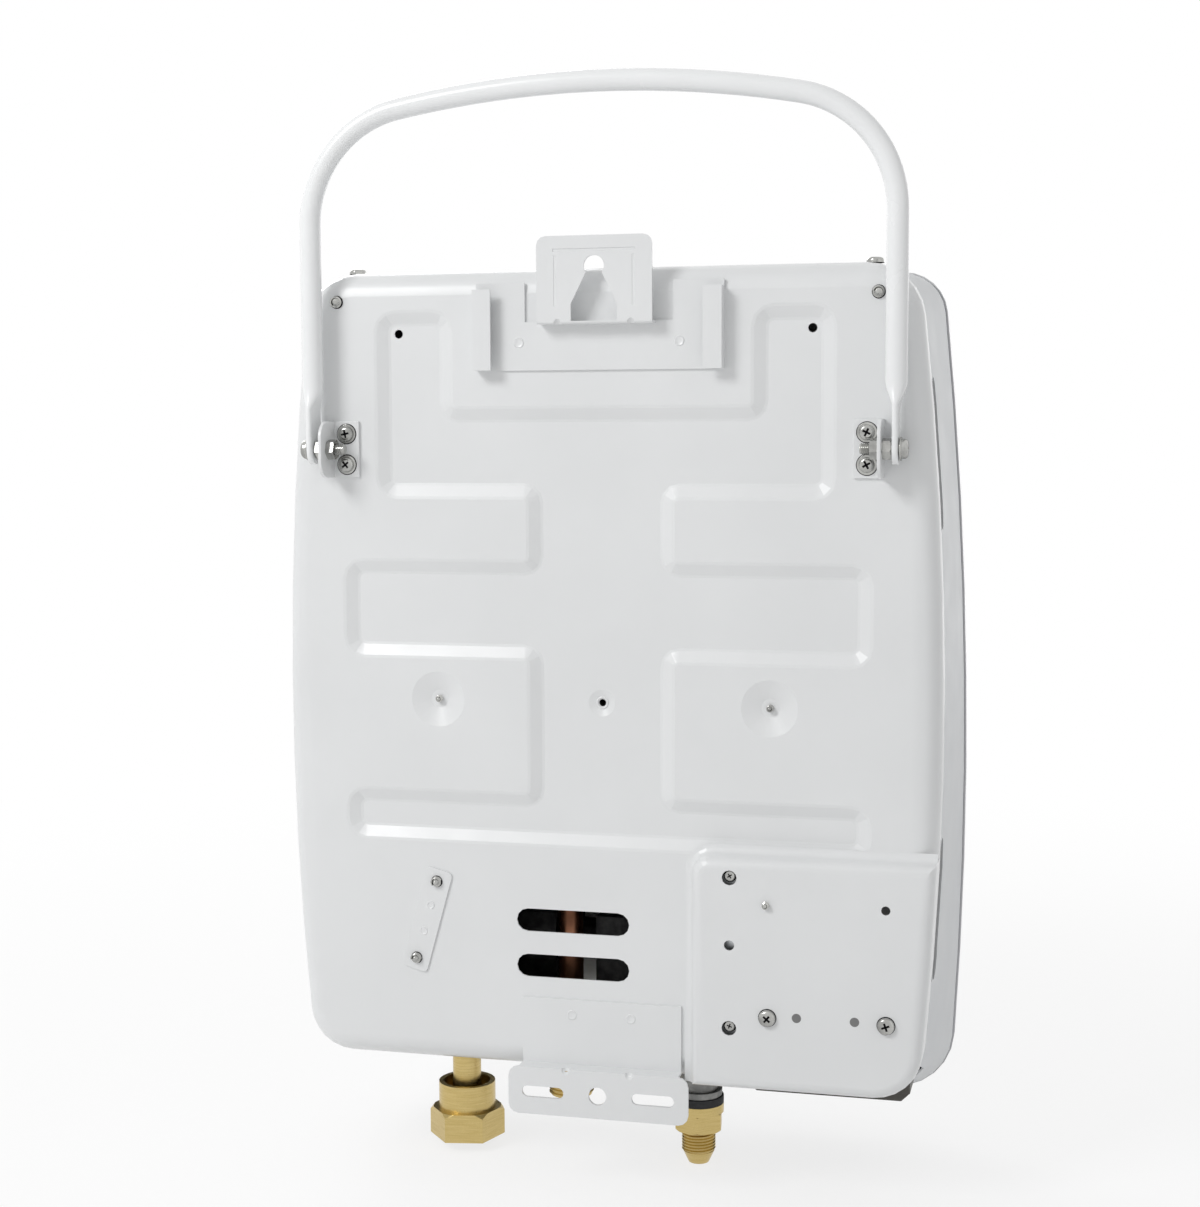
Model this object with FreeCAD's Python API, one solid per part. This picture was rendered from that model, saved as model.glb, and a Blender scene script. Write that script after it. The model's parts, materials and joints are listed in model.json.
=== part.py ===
import FreeCAD, Part
import math
import os
from FreeCAD import Vector

# Portable propane water heater, millimetres.
# Modelling frame: x to the right seen from the front, y towards the wall, z up, with zero at the
# centre hole of the back panel's raised face. save() moves everything so that the origin of the
# files lies at the keyhole of the wall bracket, on the plane that touches the wall.

# ---- driving dimensions: casing -------------------------------------------------------------
sheet = 0.8                  # painted steel of the casing
wall_plane = 9.0             # wall brackets stand this far behind the panel's face

panel_half_width = 148.6
panel_barrel_radius = 1550.0
panel_barrel_centre = -4.0
panel_top = 190.4
keyhole_height = panel_top - 0.4    # keyhole centre above the panel's centre hole
panel_bottom = -167.0
panel_corner_top = 25.0
panel_corner_bottom = 21.0
panel_edge_roll = 11.0
roll_bands = 5
panel_depth = 14.0           # rolled edge plus straight flange
lap_depth = 14.0             # flange that slides under the cover
lap_gap = 0.3
corner_chords = 6            # short straight chords in each round corner of the casing
side_chords = 8              # and in each bulged side
ring_sides = 24              # flat sides of a round piece that carries no fit

front_half_width = panel_half_width + 2.9
front_barrel_radius = 2100.0
front_barrel_centre = -40.0
front_top = panel_top + 1.6
front_bottom = panel_bottom - 30.0
front_corner_top = 20.0
front_corner_bottom = 29.0
cover_gap = 0.5              # seam between panel and cover
cover_front = 103.0          # depth of the cover's front rim
seam_reach = 8.0
seam_width = 2.5
seam_inset = 0.4
fascia_sheet = 2.0
fascia_side = -110.5         # where the fascia's straight side ends
fascia_face = -120.0
fascia_edge_width = 16.0
fascia_bands = 3
fascia_overhang = 0.8

# ---- driving dimensions: pressings of the back panel -----------------------------------------
recess_depth = 2.8
recess_slope = 5.5
recess_chords = 3
recess_profile = ((0.0, 1.5), (-0.3, 0.2), (-2.5, -4.5), (-recess_depth, -recess_slope - 0.2))  # level, growth
recess_corner = 8.0
recess_inner_corner = 3.0
recess_arm_half = panel_half_width - 46.8      # half-width across the upper arms
recess_bar_half = panel_half_width - 30.6      # half-width across the lower bars
recess_stem_half = 32.0      # half-width of the upright stem
recess_head_half = 68.0      # half-width of the raised head between the arms
recess_head_bottom = 129.2
recess_arm_top = 171.8
recess_arm_bottom = 91.1
recess_bar_top = 61.6
recess_bar_bottom = 19.5
recess_foot_top = -42.3
recess_foot_bottom = -63.7

bump_height = 8.5            # battery compartment stands behind the panel's face
bump_left = 106.9 - panel_half_width
bump_top = -64.0
bump_round = 5.5
bump_corner = 9.0
bump_foot = 4.0              # width of the soft foot around the block
bump_bands = 4
hollow_chamfer = 0.58        # legs of the plain inner chamfer for each unit of outer radius
roll_chamfer = 0.8           # the same inside the rolled edge

dimple_x = 75.0
dimple_radius = 12.5
dimple_floor_radius = 4.0
dimple_depth = 2.8
centre_dimple_radius = 6.0
centre_dimple_depth = 1.2
centre_hole = 3.3

vent_length = 51.7
vent_height = 10.3
vent_x = 13.2
vent_heights = (-98.5, -119.2)
side_vent_width = 8.0
side_vent_spans = ((77.0, 142.0), (-120.0, -57.0))
side_vent_depth = 20.0

flue_slots = 11
flue_pitch = 13.0
flue_slot_width = 5.5
flue_rear = -44.0
flue_front = -84.0
bottom_cut_half = panel_half_width - 26.6
bottom_rim = 8.0

screw_head_radius = 3.8
screw_head = 2.0
open_hole_radius = 2.0
window_hole_radius = 3.3     # holes that show a screw head behind them
arm_hole_x = recess_arm_half - 9.3
arm_hole_z = 162.8
corner_screw_x = panel_half_width - 28.1
corner_screw_z = panel_top - 13.2
top_screw_x = panel_half_width - 31.6
top_screw_y = -18.0
inner_bracket_x = bump_left - 17.3
inner_bracket_screws = (-72.9, -139.3)
inner_bracket_hole = -102.6
far_hole_x = 22.2 - panel_half_width
far_hole_z = bump_top - 19.7
tilt_switch_x = bump_left - 33.3
tilt_switch_z = bump_top - 20.0
box_screw_spread = 51.1
box_screw_z = -133.6
peg_spread = 24.9
peg_z = -132.9
peg_radius = 2.1

# ---- driving dimensions: brackets -------------------------------------------------------------
bracket_sheet = 1.2
top_plate_half = 55.2
top_plate_low = keyhole_height - 44.0
top_plate_high = keyhole_height - 6.0
top_notch_half = 33.0
top_notch_low = keyhole_height - 23.0
guide_stand = 7.2
guide_lip = 8.2
guide_high = keyhole_height - 9.0
hook_half = 25.5
hook_low = keyhole_height - 24.5
hook_high = keyhole_height + 13.0
hook_corner = 4.0
keyhole_radius = 4.5
keyhole_neck = 7.2
keyhole_mouth = 20.5
keyhole_mouth_height = keyhole_height - 16.0
keyhole_neck_height = keyhole_height - 3.0

low_plate_half = 36.3
low_plate_top = -133.5
low_fold = -163.0
low_flange_half = 41.0
low_flange_bottom = -184.5
low_corner = 4.5
low_hole_height = -174.2
low_hole_diameter = 8.0
low_slot_spacing = 50.2
low_slot_length = 19.0
low_slot_height = 5.0

strap_width = 12.5
strap_length = 48.0
strap_sheet = 1.0
strap_x = panel_half_width - 67.3
strap_z = -100.8
strap_tilt = 15.7
strap_screw_spread = 37.0

# ---- driving dimensions: handle ---------------------------------------------------------------
pivot_height = 111.8
pivot_stand = 9.0            # pivot axis behind the panel's face
ear_inner = panel_half_width - 26.6
ear_sheet = 1.5
ear_stand = 18.0
ear_half_height = 12.5
ear_base_width = 11.5
ear_corner = 8.0
ear_screw_x = ear_inner - 5.8
ear_screw_spread = 13.7
bolt_diameter = 5.0
bolt_end = ear_inner - 8.0
bolt_clearance = 0.05
nut_flats = 8.0
nut_thickness = 3.7
tab_gap = 0.5
bolt_play = 0.4              # side play of the handle under the washer
body_gap = 0.35              # clearance between pieces that move without a fit
tab_thickness = 2.6
tab_half_width = 6.5
tab_top = 18.0               # tab length above the pivot
tube_diameter = 9.3
tube_wall = 1.3
tube_start = 28.0            # full round tube begins above the pivot
handle_corner = 50.0
handle_crown_height = 267.5
handle_crown_radius = 474.0
handle_steps = 8
tube_sides = 12
washer_thickness = 0.8
washer_radius = 5.0
bolt_head_thickness = 2.8
bolt_head_radius = 4.2

# ---- driving dimensions: pipes and valves -----------------------------------------------------
pipe_y = -47.0
water_in_x = panel_half_width - 70.2
water_tube_diameter = 13.5
water_tube_bore = 9.5
swivel_top = -190.5
swivel_shoulder = -203.0
swivel_bottom = -216.5
swivel_cup_diameter = 27.0
swivel_cup_bore = 22.3
swivel_cup_floor = -199.0
swivel_gap = 0.4             # the nut's web above the tube's collar
swivel_chamfer = 1.6
swivel_flats = 31.0
swivel_hex_turn = 11.0
hose_thread_radius = 13.2
collar_thickness = 2.0
collar_radius = 11.8
hose_washer_thickness = 2.5
hose_seat_radius = 12.6      # plain seat for the washer above the thread
swivel_hole_gap = 0.45
washer_seat = swivel_shoulder - swivel_gap - collar_thickness - hose_washer_thickness - 0.1
thread_relief = 0.6          # undercut above the hose thread
thread_relief_depth = 0.4
hose_thread_top = washer_seat - thread_relief

gas_x = -34.8
gas_body_diameter = 22.0
gas_neck_top = -182.0
gas_neck_bottom = -185.5
gas_neck_depth = 2.0
gas_hex_turn = 8.0
gas_seal_top = -188.5
gas_seal_bottom = -192.3
gas_ring_diameter = 23.5
gas_collar_bottom = -196.5
gas_hex_bottom = -205.0
gas_hex_flats = 21.0
flare_thread_diameter = 15.875
flare_thread_bottom = -215.2
flare_nose_bottom = -220.8
flare_nose_diameter = 9.6
flare_bore = 7.5

hot_x = 22.0
hot_y = -30.0
hot_nipple_radius = 10.48
hot_nipple_bottom = -187.0
hot_thread_top = -171.5
hot_body_radius = 9.8
copper_diameter = 12.0
copper_wall = 1.0

base_left = bump_left - 16.3
base_right = panel_half_width - 36.6
base_front = 98.0
base_rear = -8.5
base_step = -150.0
base_tab = 8.0
base_tab_cut = 22.0          # the tab stays clear of the raised battery block
hot_nipple_top = -150.0
cold_x = 86.0
cold_y = -60.0
header_bottom = 100.0
header_top = 114.0
valve_left = -85.0
valve_right = 12.0
riser_x = -50.0
riser_y = -86.0
riser_radius = 5.5
link_radius = 7.0
disc_left = 30.0
disc_radius = 28.0
disc_y = -60.0
disc_z = -118.0
water_left = 50.0
water_right = 100.0
water_front = -80.0
water_rear = -35.0
water_top = -110.0
boss_radius = 8.0
boss_front = -98.0
boss_bore = 6.0
manifold_half = 72.0
manifold_front = -96.0
manifold_rear = -84.0
manifold_bottom = -88.0
manifold_top = -76.0
jet_flats = 5.0
jet_top = -72.0
valve_bottom = panel_bottom + 17.0
valve_top = -105.0
valve_rear = -38.0
valve_front = -92.0

# ---- driving dimensions: hot end ---------------------------------------------------------------
chamber_half = 74.0
chamber_rear = -40.0
chamber_front = -92.0
chamber_bottom = -28.0
chamber_top = 92.0
chamber_sheet = 1.0
exchanger_top = 125.0
hood_top = 188.6
fin_gaps = 9
fin_pitch = 15.0
burner_lip = 2.0
burner_ring = 4.0
burner_rear = -44.0
burner_front = -88.0
electrode_x = 12.0
electrode_z = -20.0
electrode_radius = 1.2
electrode_reach = 32.0
electrode_flats = 8.0
electrode_ceramic = 6.0
module_x = 33.6 - panel_half_width
module_z = -11.5
strip_y = 3.8
burner_bottom = -70.0
blade_count = 7
blade_pitch = 19.0
blade_width = 9.0

# ---- driving dimensions: battery ---------------------------------------------------------------
battery_x = 47.5 - panel_half_width
cell_radius = 16.9
cell_length = 61.0
cell_gap = 0.35
cell_spread = 17.1           # cell centres from the middle of the box
cell_y = -17.9
cell_nub_radius = 4.5
box_wall = 1.2
box_rear = cell_y + cell_radius + cell_gap + box_wall
box_bottom = panel_bottom + 1.7
box_top = box_bottom + 67.3
door_half = 35.6
door_cut = 14.0              # height of the casing's cut-out for the door
door_gap = 0.3
door_thickness = 3.9
door_bevel = 4.0
door_rear = -1.4
door_front = -37.3
door_axis_y = -41.0
door_axis_z = box_bottom - 1.2
door_pin_radius = 1.5
door_knuckle_radius = 3.0
knuckle_half = 20.0
lug_inner = 24.0
lug_outer = 30.0

# ---- driving dimensions: controls ---------------------------------------------------------------
knob_height = -140.0
knob_spacing = 70.0
knob_back = -120.6
knob_skirt_radius = 21.0
knob_skirt = 4.0
knob_grip_radius = 16.0
knob_length = 18.0
knob_bar_half = 4.5
knob_bore = 10.0
spindle_diameter = 6.0
spindle_clearance = 0.05
display_z = -85.0
display_width = 58.0
display_height = 26.0
window_z = -30.0
window_width = 74.0
window_height = 30.0
rocker_x = panel_half_width - 43.6
rocker_width = 15.0
rocker_height = 21.0
rocker_axis_y = -114.0
rocker_front = -122.0


# ---- helpers -----------------------------------------------------------------------------------
def save(name, shape):
    moved = shape.copy()
    moved.translate(Vector(0, -wall_plane, -keyhole_height))
    moved.exportStep("parts/" + name + ".step")


def box(x0, x1, y0, y1, z0, z1):
    low = Vector(min(x0, x1), min(y0, y1), min(z0, z1))
    return Part.makeBox(abs(x1 - x0), abs(y1 - y0), abs(z1 - z0), low)


def rod(radius, start, end):
    start, end = Vector(*start), Vector(*end)
    return Part.makeCylinder(radius, (end - start).Length, start, end - start)


def join(shapes):
    whole = shapes[0]
    if len(shapes) > 1:
        whole = whole.fuse(shapes[1:])
    return whole.removeSplitter()


def group(shapes):
    return Part.makeCompound(shapes)


def turned(shape, base, axis, degrees):
    copy = shape.copy()
    copy.rotate(Vector(*base), Vector(*axis), degrees)
    return copy


def mirrored(shape):
    return shape.mirror(Vector(0, 0, 0), Vector(1, 0, 0))


def hexagon(flats, centre, z0, z1, turn=0.0):
    corner = flats / math.sqrt(3)
    points = []
    for k in range(7):
        a = math.radians(60 * k + turn)
        points.append(Vector(centre[0] + corner * math.cos(a), centre[1] + corner * math.sin(a), z0))
    return Part.Face(Part.makePolygon(points)).extrude(Vector(0, 0, z1 - z0))


def hexagon_x(flats, x0, x1, y, z):
    corner = flats / math.sqrt(3)
    points = []
    for k in range(7):
        a = math.radians(60 * k)
        points.append(Vector(x0, y + corner * math.cos(a), z + corner * math.sin(a)))
    return Part.Face(Part.makePolygon(points)).extrude(Vector(x1 - x0, 0, 0))


def rounded_rectangle(half_x, half_z, radius, y0, y1, x=0.0, z=0.0):
    points = []
    for sx, sz, over in ((1, 1, 1), (1, -1, 0), (-1, -1, 1), (-1, 1, 0)):
        centre = Vector(x + sx * (half_x - radius), y0, z + sz * (half_z - radius))
        touches = (centre + Vector(0, 0, sz * radius), centre + Vector(sx * radius, 0, 0))
        points += chords(centre, touches[1 - over], touches[over], 3)
    return prism(closed(points), y1 - y0)


def obround(length, height, y0, y1, x=0.0, z=0.0):
    half = (length - height) / 2
    middle = box(x - half, x + half, y0, y1, z - height / 2, z + height / 2)
    ends = [rod(height / 2, (x + s * half, y0, z), (x + s * half, y1, z)) for s in (-1, 1)]
    return join([middle] + ends)


def chords(centre, start, end, steps):
    """Points along a round stretch, from which it is drawn as short straight chords."""
    first, last = start - centre, end - centre
    axis = first.cross(last)
    whole = math.degrees(first.getAngle(last))
    steps = int(steps)
    return [centre + FreeCAD.Rotation(axis, whole * k / steps).multVec(first) for k in range(steps + 1)]


def closed(points):
    return Part.makePolygon(points + [points[0]])


def flat_loft(wires):
    """Solid between outlines that have the same number of corners, made of flat faces only."""
    rings = [[v.Point for v in wire.OrderedVertexes] for wire in wires]
    faces = [Part.Face(wires[0]), Part.Face(wires[-1])]
    for low, high in zip(rings, rings[1:]):
        for k in range(len(low)):
            a, b, c, d = low[k - 1], low[k], high[k], high[k - 1]
            lean = (b - a).cross(c - a).normalize()
            if abs((d - a).dot(lean)) < 1e-6:
                faces.append(Part.Face(closed([a, b, c, d])))
            else:
                faces += [Part.Face(closed([a, b, c])), Part.Face(closed([a, c, d]))]
    solid = Part.Solid(Part.Shell(faces))
    if solid.Volume < 0:
        solid.reverse()
    return solid


def many_sided(radius, start, end, sides=12, end_radius=None):
    """Round piece drawn with flat sides, for holes, heads and collars that carry no fit."""
    start, end = Vector(*start), Vector(*end)
    along = (end - start).normalize()
    across = along.cross(Vector(1, 0, 0) if abs(along.z) > 0.9 else Vector(0, 0, 1)).normalize()
    up = along.cross(across)
    rings = []
    for centre, r in ((start, radius), (end, radius if end_radius is None else end_radius)):
        turns = [2 * math.pi * k / sides for k in range(sides)]
        rings.append(closed([centre + across * (r * math.cos(a)) + up * (r * math.sin(a)) for a in turns]))
    if end_radius is None:
        return Part.Face(rings[0]).extrude(end - start)
    return flat_loft(rings)


def many_sided_pipe(radius, wall, start, end):
    return many_sided(radius, start, end).cut(many_sided(radius - wall, start, end))


def around(radius, sides=12):
    """Corner radius of a many-sided hole whose flats stay clear of a round piece."""
    return radius / math.cos(math.pi / sides)


def post(x, y, steps, sides=24):
    """Upright stack of many-sided pieces. steps lists (radius, level, radius, level)."""
    return join([many_sided(r0, (x, y, z0), (x, y, z1), sides, r1) for r0, z0, r1, z1 in steps])


def flat_slot(length, height, y0, y1, x=0.0, z=0.0):
    """Obround drawn with short chords at its ends."""
    half = (length - height) / 2
    points = []
    for side in (-1, 1):
        centre = Vector(x + side * half, y0, z)
        points += chords(centre, centre + Vector(0, 0, side * height / 2), centre + Vector(side * height / 2, 0, 0), 3)
        points += chords(centre, centre + Vector(side * height / 2, 0, 0),
                         centre - Vector(0, 0, side * height / 2), 3)[1:]
    return prism(closed(points), y1 - y0)


# ---- casing outlines ------------------------------------------------------------------------------
def barrel_wire(y, half, radius, centre_z, top, bottom, corner_top, corner_bottom):
    """Closed outline with bulged sides: straight top and bottom, tangent corner arcs."""
    barrel = Vector(half - radius, y, centre_z)

    def corner(z_edge, r, sign):
        z = z_edge - sign * r
        x = barrel.x + math.sqrt((radius - r) ** 2 - (z - centre_z) ** 2)
        centre = Vector(x, y, z)
        touch = barrel + (centre - barrel).normalize() * radius
        return centre, Vector(x, y, z_edge), touch

    top_centre, top_end, top_touch = corner(top, corner_top, 1)
    low_centre, low_end, low_touch = corner(bottom, corner_bottom, -1)

    def flip(v):
        return Vector(-v.x, v.y, v.z)

    right = chords(top_centre, top_end, top_touch, corner_chords)
    right += chords(barrel, top_touch, low_touch, side_chords)[1:]
    right += chords(low_centre, low_touch, low_end, corner_chords)[1:]
    return closed(right + [flip(v) for v in reversed(right)])


def panel_wire(y, inset=0.0):
    return barrel_wire(y, panel_half_width - inset, panel_barrel_radius - inset, panel_barrel_centre,
                       panel_top - inset, panel_bottom + inset,
                       panel_corner_top - inset, panel_corner_bottom - inset)


def front_wire(y, inset=0.0):
    return barrel_wire(y, front_half_width - inset, front_barrel_radius - inset, front_barrel_centre,
                       front_top - inset, front_bottom + inset,
                       front_corner_top - inset, front_corner_bottom - inset)


def prism(wire, depth):
    return Part.Face(wire).extrude(Vector(0, depth, 0))


def edges_at(solid, y, keep=lambda e: True):
    found = []
    for e in solid.Edges:
        b = e.BoundBox
        if abs(b.YMin - y) < 1e-3 and abs(b.YMax - y) < 1e-3 and keep(e):
            found.append(e)
    return found


# ---- back panel -------------------------------------------------------------------------------------
def recess_outline(y, grow, round_corners=True):
    """Maze-like outline of the stamped recess. grow moves every side outwards."""
    g = grow
    right = [
        (recess_head_half - g, recess_arm_top + g), (recess_arm_half + g, recess_arm_top + g),
        (recess_arm_half + g, recess_arm_bottom - g), (recess_stem_half + g, recess_arm_bottom - g),
        (recess_stem_half + g, recess_bar_top + g), (recess_bar_half + g, recess_bar_top + g),
        (recess_bar_half + g, recess_bar_bottom - g), (recess_stem_half + g, recess_bar_bottom - g),
        (recess_stem_half + g, recess_foot_top + g), (recess_bar_half + g, recess_foot_top + g),
        (recess_bar_half + g, recess_foot_bottom - g),
    ]
    left = [(-x, z) for x, z in reversed(right)]
    head = [(-recess_head_half + g, recess_head_bottom + g), (recess_head_half - g, recess_head_bottom + g)]
    points = [Vector(x, y, z) for x, z in right + left + head]
    if round_corners:
        return rounded_polygon(points, grow)
    return closed(points)


def rounded_polygon(points, grow):
    """Outline with round corners: outer ones grow with the outline, inner ones shrink."""
    outline = []
    for k, corner in enumerate(points):
        back = (points[k - 1] - corner).normalize()
        on = (points[(k + 1) % len(points)] - corner).normalize()
        outer = back.cross(on).y < 0
        radius = recess_corner + grow if outer else recess_inner_corner - grow
        outline += chords(corner + (back + on) * radius, corner + back * radius, corner + on * radius,
                          recess_chords)
    return closed(outline)


def recess_cutter():
    """The stamped recess: soft rim, slope and soft foot down to its floor."""
    return flat_loft([recess_outline(y, grow) for y, grow in recess_profile])


def recess_back():
    """Inner side of the recess, with plain corners."""
    grow = 1.5 * sheet
    rim = recess_outline(-sheet, grow, False)
    floor = recess_outline(-sheet - recess_depth, grow - recess_slope, False)
    return flat_loft([rim, floor])


def block_outline(y, inset=0.0, corner=0.0):
    """The raised block's two inner walls; its far sides lie beyond the panel."""
    left, top = bump_left - inset, bump_top - inset
    r = corner or bump_corner - inset
    centre = Vector(left - r, y, top - r)
    points = chords(centre, Vector(left, y, top - r), Vector(left - r, y, top), 1 if corner else 5)
    far_x, far_z = -panel_half_width - 5, panel_bottom - 5
    return closed([Vector(left, y, far_z)] + points + [Vector(far_x, y, top), Vector(far_x, y, far_z)])


def soft_block(outline, y_rear, y_face, depth, width, bands):
    """Block with a straight side and a quarter-round edge built from ruled bands."""
    turn = 1 if y_face > y_rear else -1
    sections = [outline(y_rear, 0)]
    for k in range(bands + 1):
        a = math.pi / 2 * k / bands
        sections.append(outline(y_face - turn * depth * (1 - math.sin(a)), width * (1 - math.cos(a))))
    return flat_loft(sections)


def bump_body():
    """Battery compartment's raised block: soft foot, soft outer edge, flush with the panel's sides."""
    level = bump_height - bump_round
    sections = []
    for k in range(bump_bands + 1):
        a = math.pi / 2 * k / bump_bands
        sections.append(block_outline(level * (1 - math.cos(a)), bump_foot * (math.sin(a) - 1)))
    foot = flat_loft(sections)
    top = soft_block(block_outline, -panel_depth, bump_height, bump_round, bump_round, bump_bands)
    limit = soft_block(panel_wire, -panel_depth, bump_height, bump_round, bump_round, bump_bands)
    return top.fuse(foot).common(limit)


def bump_hollow():
    """Air inside the raised block; its corner is cut flat, clear of the block's round one."""
    face = bump_height - sheet
    depth = face + panel_depth + 1
    inside = prism(block_outline(face, sheet, bump_corner * 0.75), -depth)
    body = prism(panel_wire(face, sheet), -depth).common(inside)
    return body.makeChamfer(bump_round * hollow_chamfer, edges_at(body, face))


def panel_skin():
    """Outer surface of the panel as a solid block: rolled edge, recess, dimples and raised block."""
    body = soft_block(panel_wire, -panel_depth, 0, panel_edge_roll, panel_edge_roll, roll_bands)
    body = body.cut(recess_cutter())
    dimples = [many_sided(dimple_floor_radius, (side * dimple_x, -dimple_depth, 0), (side * dimple_x, 0, 0),
                          ring_sides, dimple_radius) for side in (-1, 1)]
    dimples.append(many_sided(centre_hole / 2 + 1, (0, -recess_depth - centre_dimple_depth, 0),
                              (0, -recess_depth, 0), 16, centre_dimple_radius))
    return body.cut(group(dimples)).fuse(bump_body())


def panel_hollow():
    """Air behind the panel's sheet, plainer than the outside."""
    depth = panel_depth + 1 - sheet
    air = prism(panel_wire(-sheet, sheet), -depth)
    air = air.makeChamfer((panel_edge_roll - sheet) * roll_chamfer, edges_at(air, -sheet))
    air = air.cut(recess_back())
    backs = [dimple_back(side * dimple_x, -sheet, dimple_radius, dimple_floor_radius, dimple_depth)
             for side in (-1, 1)]
    backs.append(dimple_back(0, -recess_depth - sheet, centre_dimple_radius, centre_hole / 2 + 1,
                             centre_dimple_depth))
    return air.cut(group(backs)).fuse(bump_hollow())


def dimple_back(x, y, radius, floor_radius, depth):
    """Inner side of a dimple, eight-sided."""
    rings = []
    for r, level in ((radius + sheet, y + sheet / 2), (floor_radius + sheet, y - depth)):
        corners = [Vector(x + r * math.cos(math.pi / 4 * k), level, r * math.sin(math.pi / 4 * k))
                   for k in range(9)]
        rings.append(Part.makePolygon(corners))
    return flat_loft(rings)


def back_panel():
    pan = panel_skin().cut(panel_hollow())
    lap = sheet + lap_gap
    rear = -panel_depth + sheet
    outer, inner = panel_wire(rear, lap), panel_wire(rear + 1, lap + sheet)
    flange = prism(outer, -(lap_depth + sheet)).cut(prism(inner, -(lap_depth + sheet + 2)))
    shelf = prism(panel_wire(rear, sheet / 2), -sheet).cut(prism(inner, -(sheet + 2)))
    return pan.fuse([flange, shelf]).cut(group(panel_holes()))


def panel_holes():
    """Everything punched through the panel, from vents to screw holes."""
    low, high = -panel_depth, bump_height + 1
    holes = [flat_slot(vent_length, vent_height, low, high, vent_x, z) for z in vent_heights]
    holes += [many_sided(radius, (x, low, z), (x, high, z)) for x, z, radius in panel_hole_list()]
    holes.append(box(battery_x - door_half - 1, battery_x + door_half + 1, box_rear + 0.6, -50,
                     panel_bottom - 1, panel_bottom + door_cut))
    holes.append(many_sided(hot_nipple_radius + body_gap, (hot_x, hot_y, panel_bottom - 1),
                            (hot_x, hot_y, panel_bottom + 3), 16))
    return holes


def panel_hole_list():
    """x, z and radius of each open round hole."""
    holes = [(0, 0, centre_hole / 2)]
    holes += [(side * arm_hole_x, arm_hole_z, open_hole_radius) for side in (-1, 1)]
    holes += [(inner_bracket_x, z, window_hole_radius) for z in inner_bracket_screws]
    holes += [(inner_bracket_x, inner_bracket_hole, open_hole_radius + 0.3),
              (far_hole_x, far_hole_z, open_hole_radius)]
    return holes


def strap_screw_places():
    a = math.radians(strap_tilt)
    half = strap_screw_spread / 2
    return [(strap_x - s * half * math.sin(a), strap_z + s * half * math.cos(a)) for s in (-1, 1)]


# ---- cover, seam and fascia ---------------------------------------------------------------------------
def front_cover():
    rear, front = -(panel_depth + cover_gap), -cover_front
    shell = flat_loft([panel_wire(rear), front_wire(front)])
    air = flat_loft([panel_wire(rear, sheet), front_wire(front, sheet)])
    shell = shell.cut(air)
    cuts = []
    for low, high in side_vent_spans:
        slot = flat_slot(high - low, side_vent_width, -panel_half_width - 20, panel_half_width + 20)
        slot = turned(turned(slot, (0, 0, 0), (0, 0, 1), 90), (0, 0, 0), (1, 0, 0), 90)
        slot.translate(Vector(0, -side_vent_depth, (low + high) / 2))
        cuts.append(slot)
    for k in range(flue_slots):
        x = (k - (flue_slots - 1) / 2) * flue_pitch
        cuts.append(box(x - flue_slot_width / 2, x + flue_slot_width / 2, flue_rear, flue_front,
                        front_top - 12, front_top + 5))
    low, high = front_bottom - 1, panel_bottom + door_cut
    cuts.append(box(-bottom_cut_half, bottom_cut_half, rear + 1, front + bottom_rim, low, high))
    cuts.append(box(battery_x - door_half - 2, -bottom_cut_half + 1, rear + 1, door_axis_y - 5, low, high))
    return shell.cut(group(cuts))


def seam_strip():
    rear = -cover_front
    strip = prism(front_wire(rear, seam_inset), -seam_width)
    return strip.cut(prism(front_wire(rear + 1, seam_reach), -(seam_width + 2)))


def front_fascia():
    """Pillow-shaped front with a soft edge."""
    rear = -(cover_front + seam_width)

    def outline(y, inset):
        return front_wire(y, inset - fascia_overhang)

    body = soft_block(outline, rear, fascia_face, fascia_side - fascia_face, fascia_edge_width, fascia_bands)
    air = [front_wire(y, inset) for y, inset in
           ((rear, fascia_sheet), (fascia_side, fascia_sheet), (fascia_face + fascia_sheet, fascia_edge_width))]
    air = flat_loft(air)
    body = body.cut(air)
    back, front = fascia_side, fascia_face - 1
    holes = [rounded_rectangle(window_width / 2, window_height / 2, 10, back, front, 0, window_z),
             rounded_rectangle(display_width / 2, display_height / 2, 3, back, front, 0, display_z),
             box(rocker_x - rocker_width / 2, rocker_x + rocker_width / 2, back, front,
                 display_z - rocker_height / 2, display_z + rocker_height / 2)]
    holes += [many_sided(spindle_diameter / 2 + 1.5, (x, back, knob_height), (x, front, knob_height))
              for x in knob_places()]
    return body.cut(group(holes))


def knob_places():
    return [-knob_spacing, 0, knob_spacing]


# ---- wall brackets and strap -------------------------------------------------------------------------
def top_bracket():
    t = bracket_sheet
    plate = box(-top_plate_half, top_plate_half, 0, t, top_plate_low, top_plate_high)
    plate = plate.cut(box(-top_notch_half, top_notch_half, -1, t + 1, top_notch_low, top_plate_high + 1))
    guides = []
    for side in (-1, 1):
        edge = side * top_plate_half
        guides.append(box(edge - side * t, edge, 0, guide_stand, top_plate_low, guide_high))
        guides.append(box(edge - side * guide_lip, edge, guide_stand - t, guide_stand, top_plate_low, guide_high))
    ledge = box(-hook_half, hook_half, 0, wall_plane, hook_low, hook_low + t)
    hook = rounded_rectangle(hook_half, (hook_high - hook_low) / 2, hook_corner, wall_plane - t, wall_plane,
                             0, (hook_high + hook_low) / 2)
    foot = box(-hook_half, hook_half, wall_plane - t, wall_plane, hook_low, hook_low + hook_corner)
    bracket = join([plate, ledge, hook, foot] + guides)
    bends = [e for e in bracket.Edges if abs(e.BoundBox.YMax - wall_plane) < 1e-6
             and abs(e.BoundBox.ZMax - hook_low) < 1e-6 and e.BoundBox.YMin > wall_plane - 1e-3]
    return bracket.makeFillet(t, bends).cut(keyhole(wall_plane - t - 1, wall_plane + 1))


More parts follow.
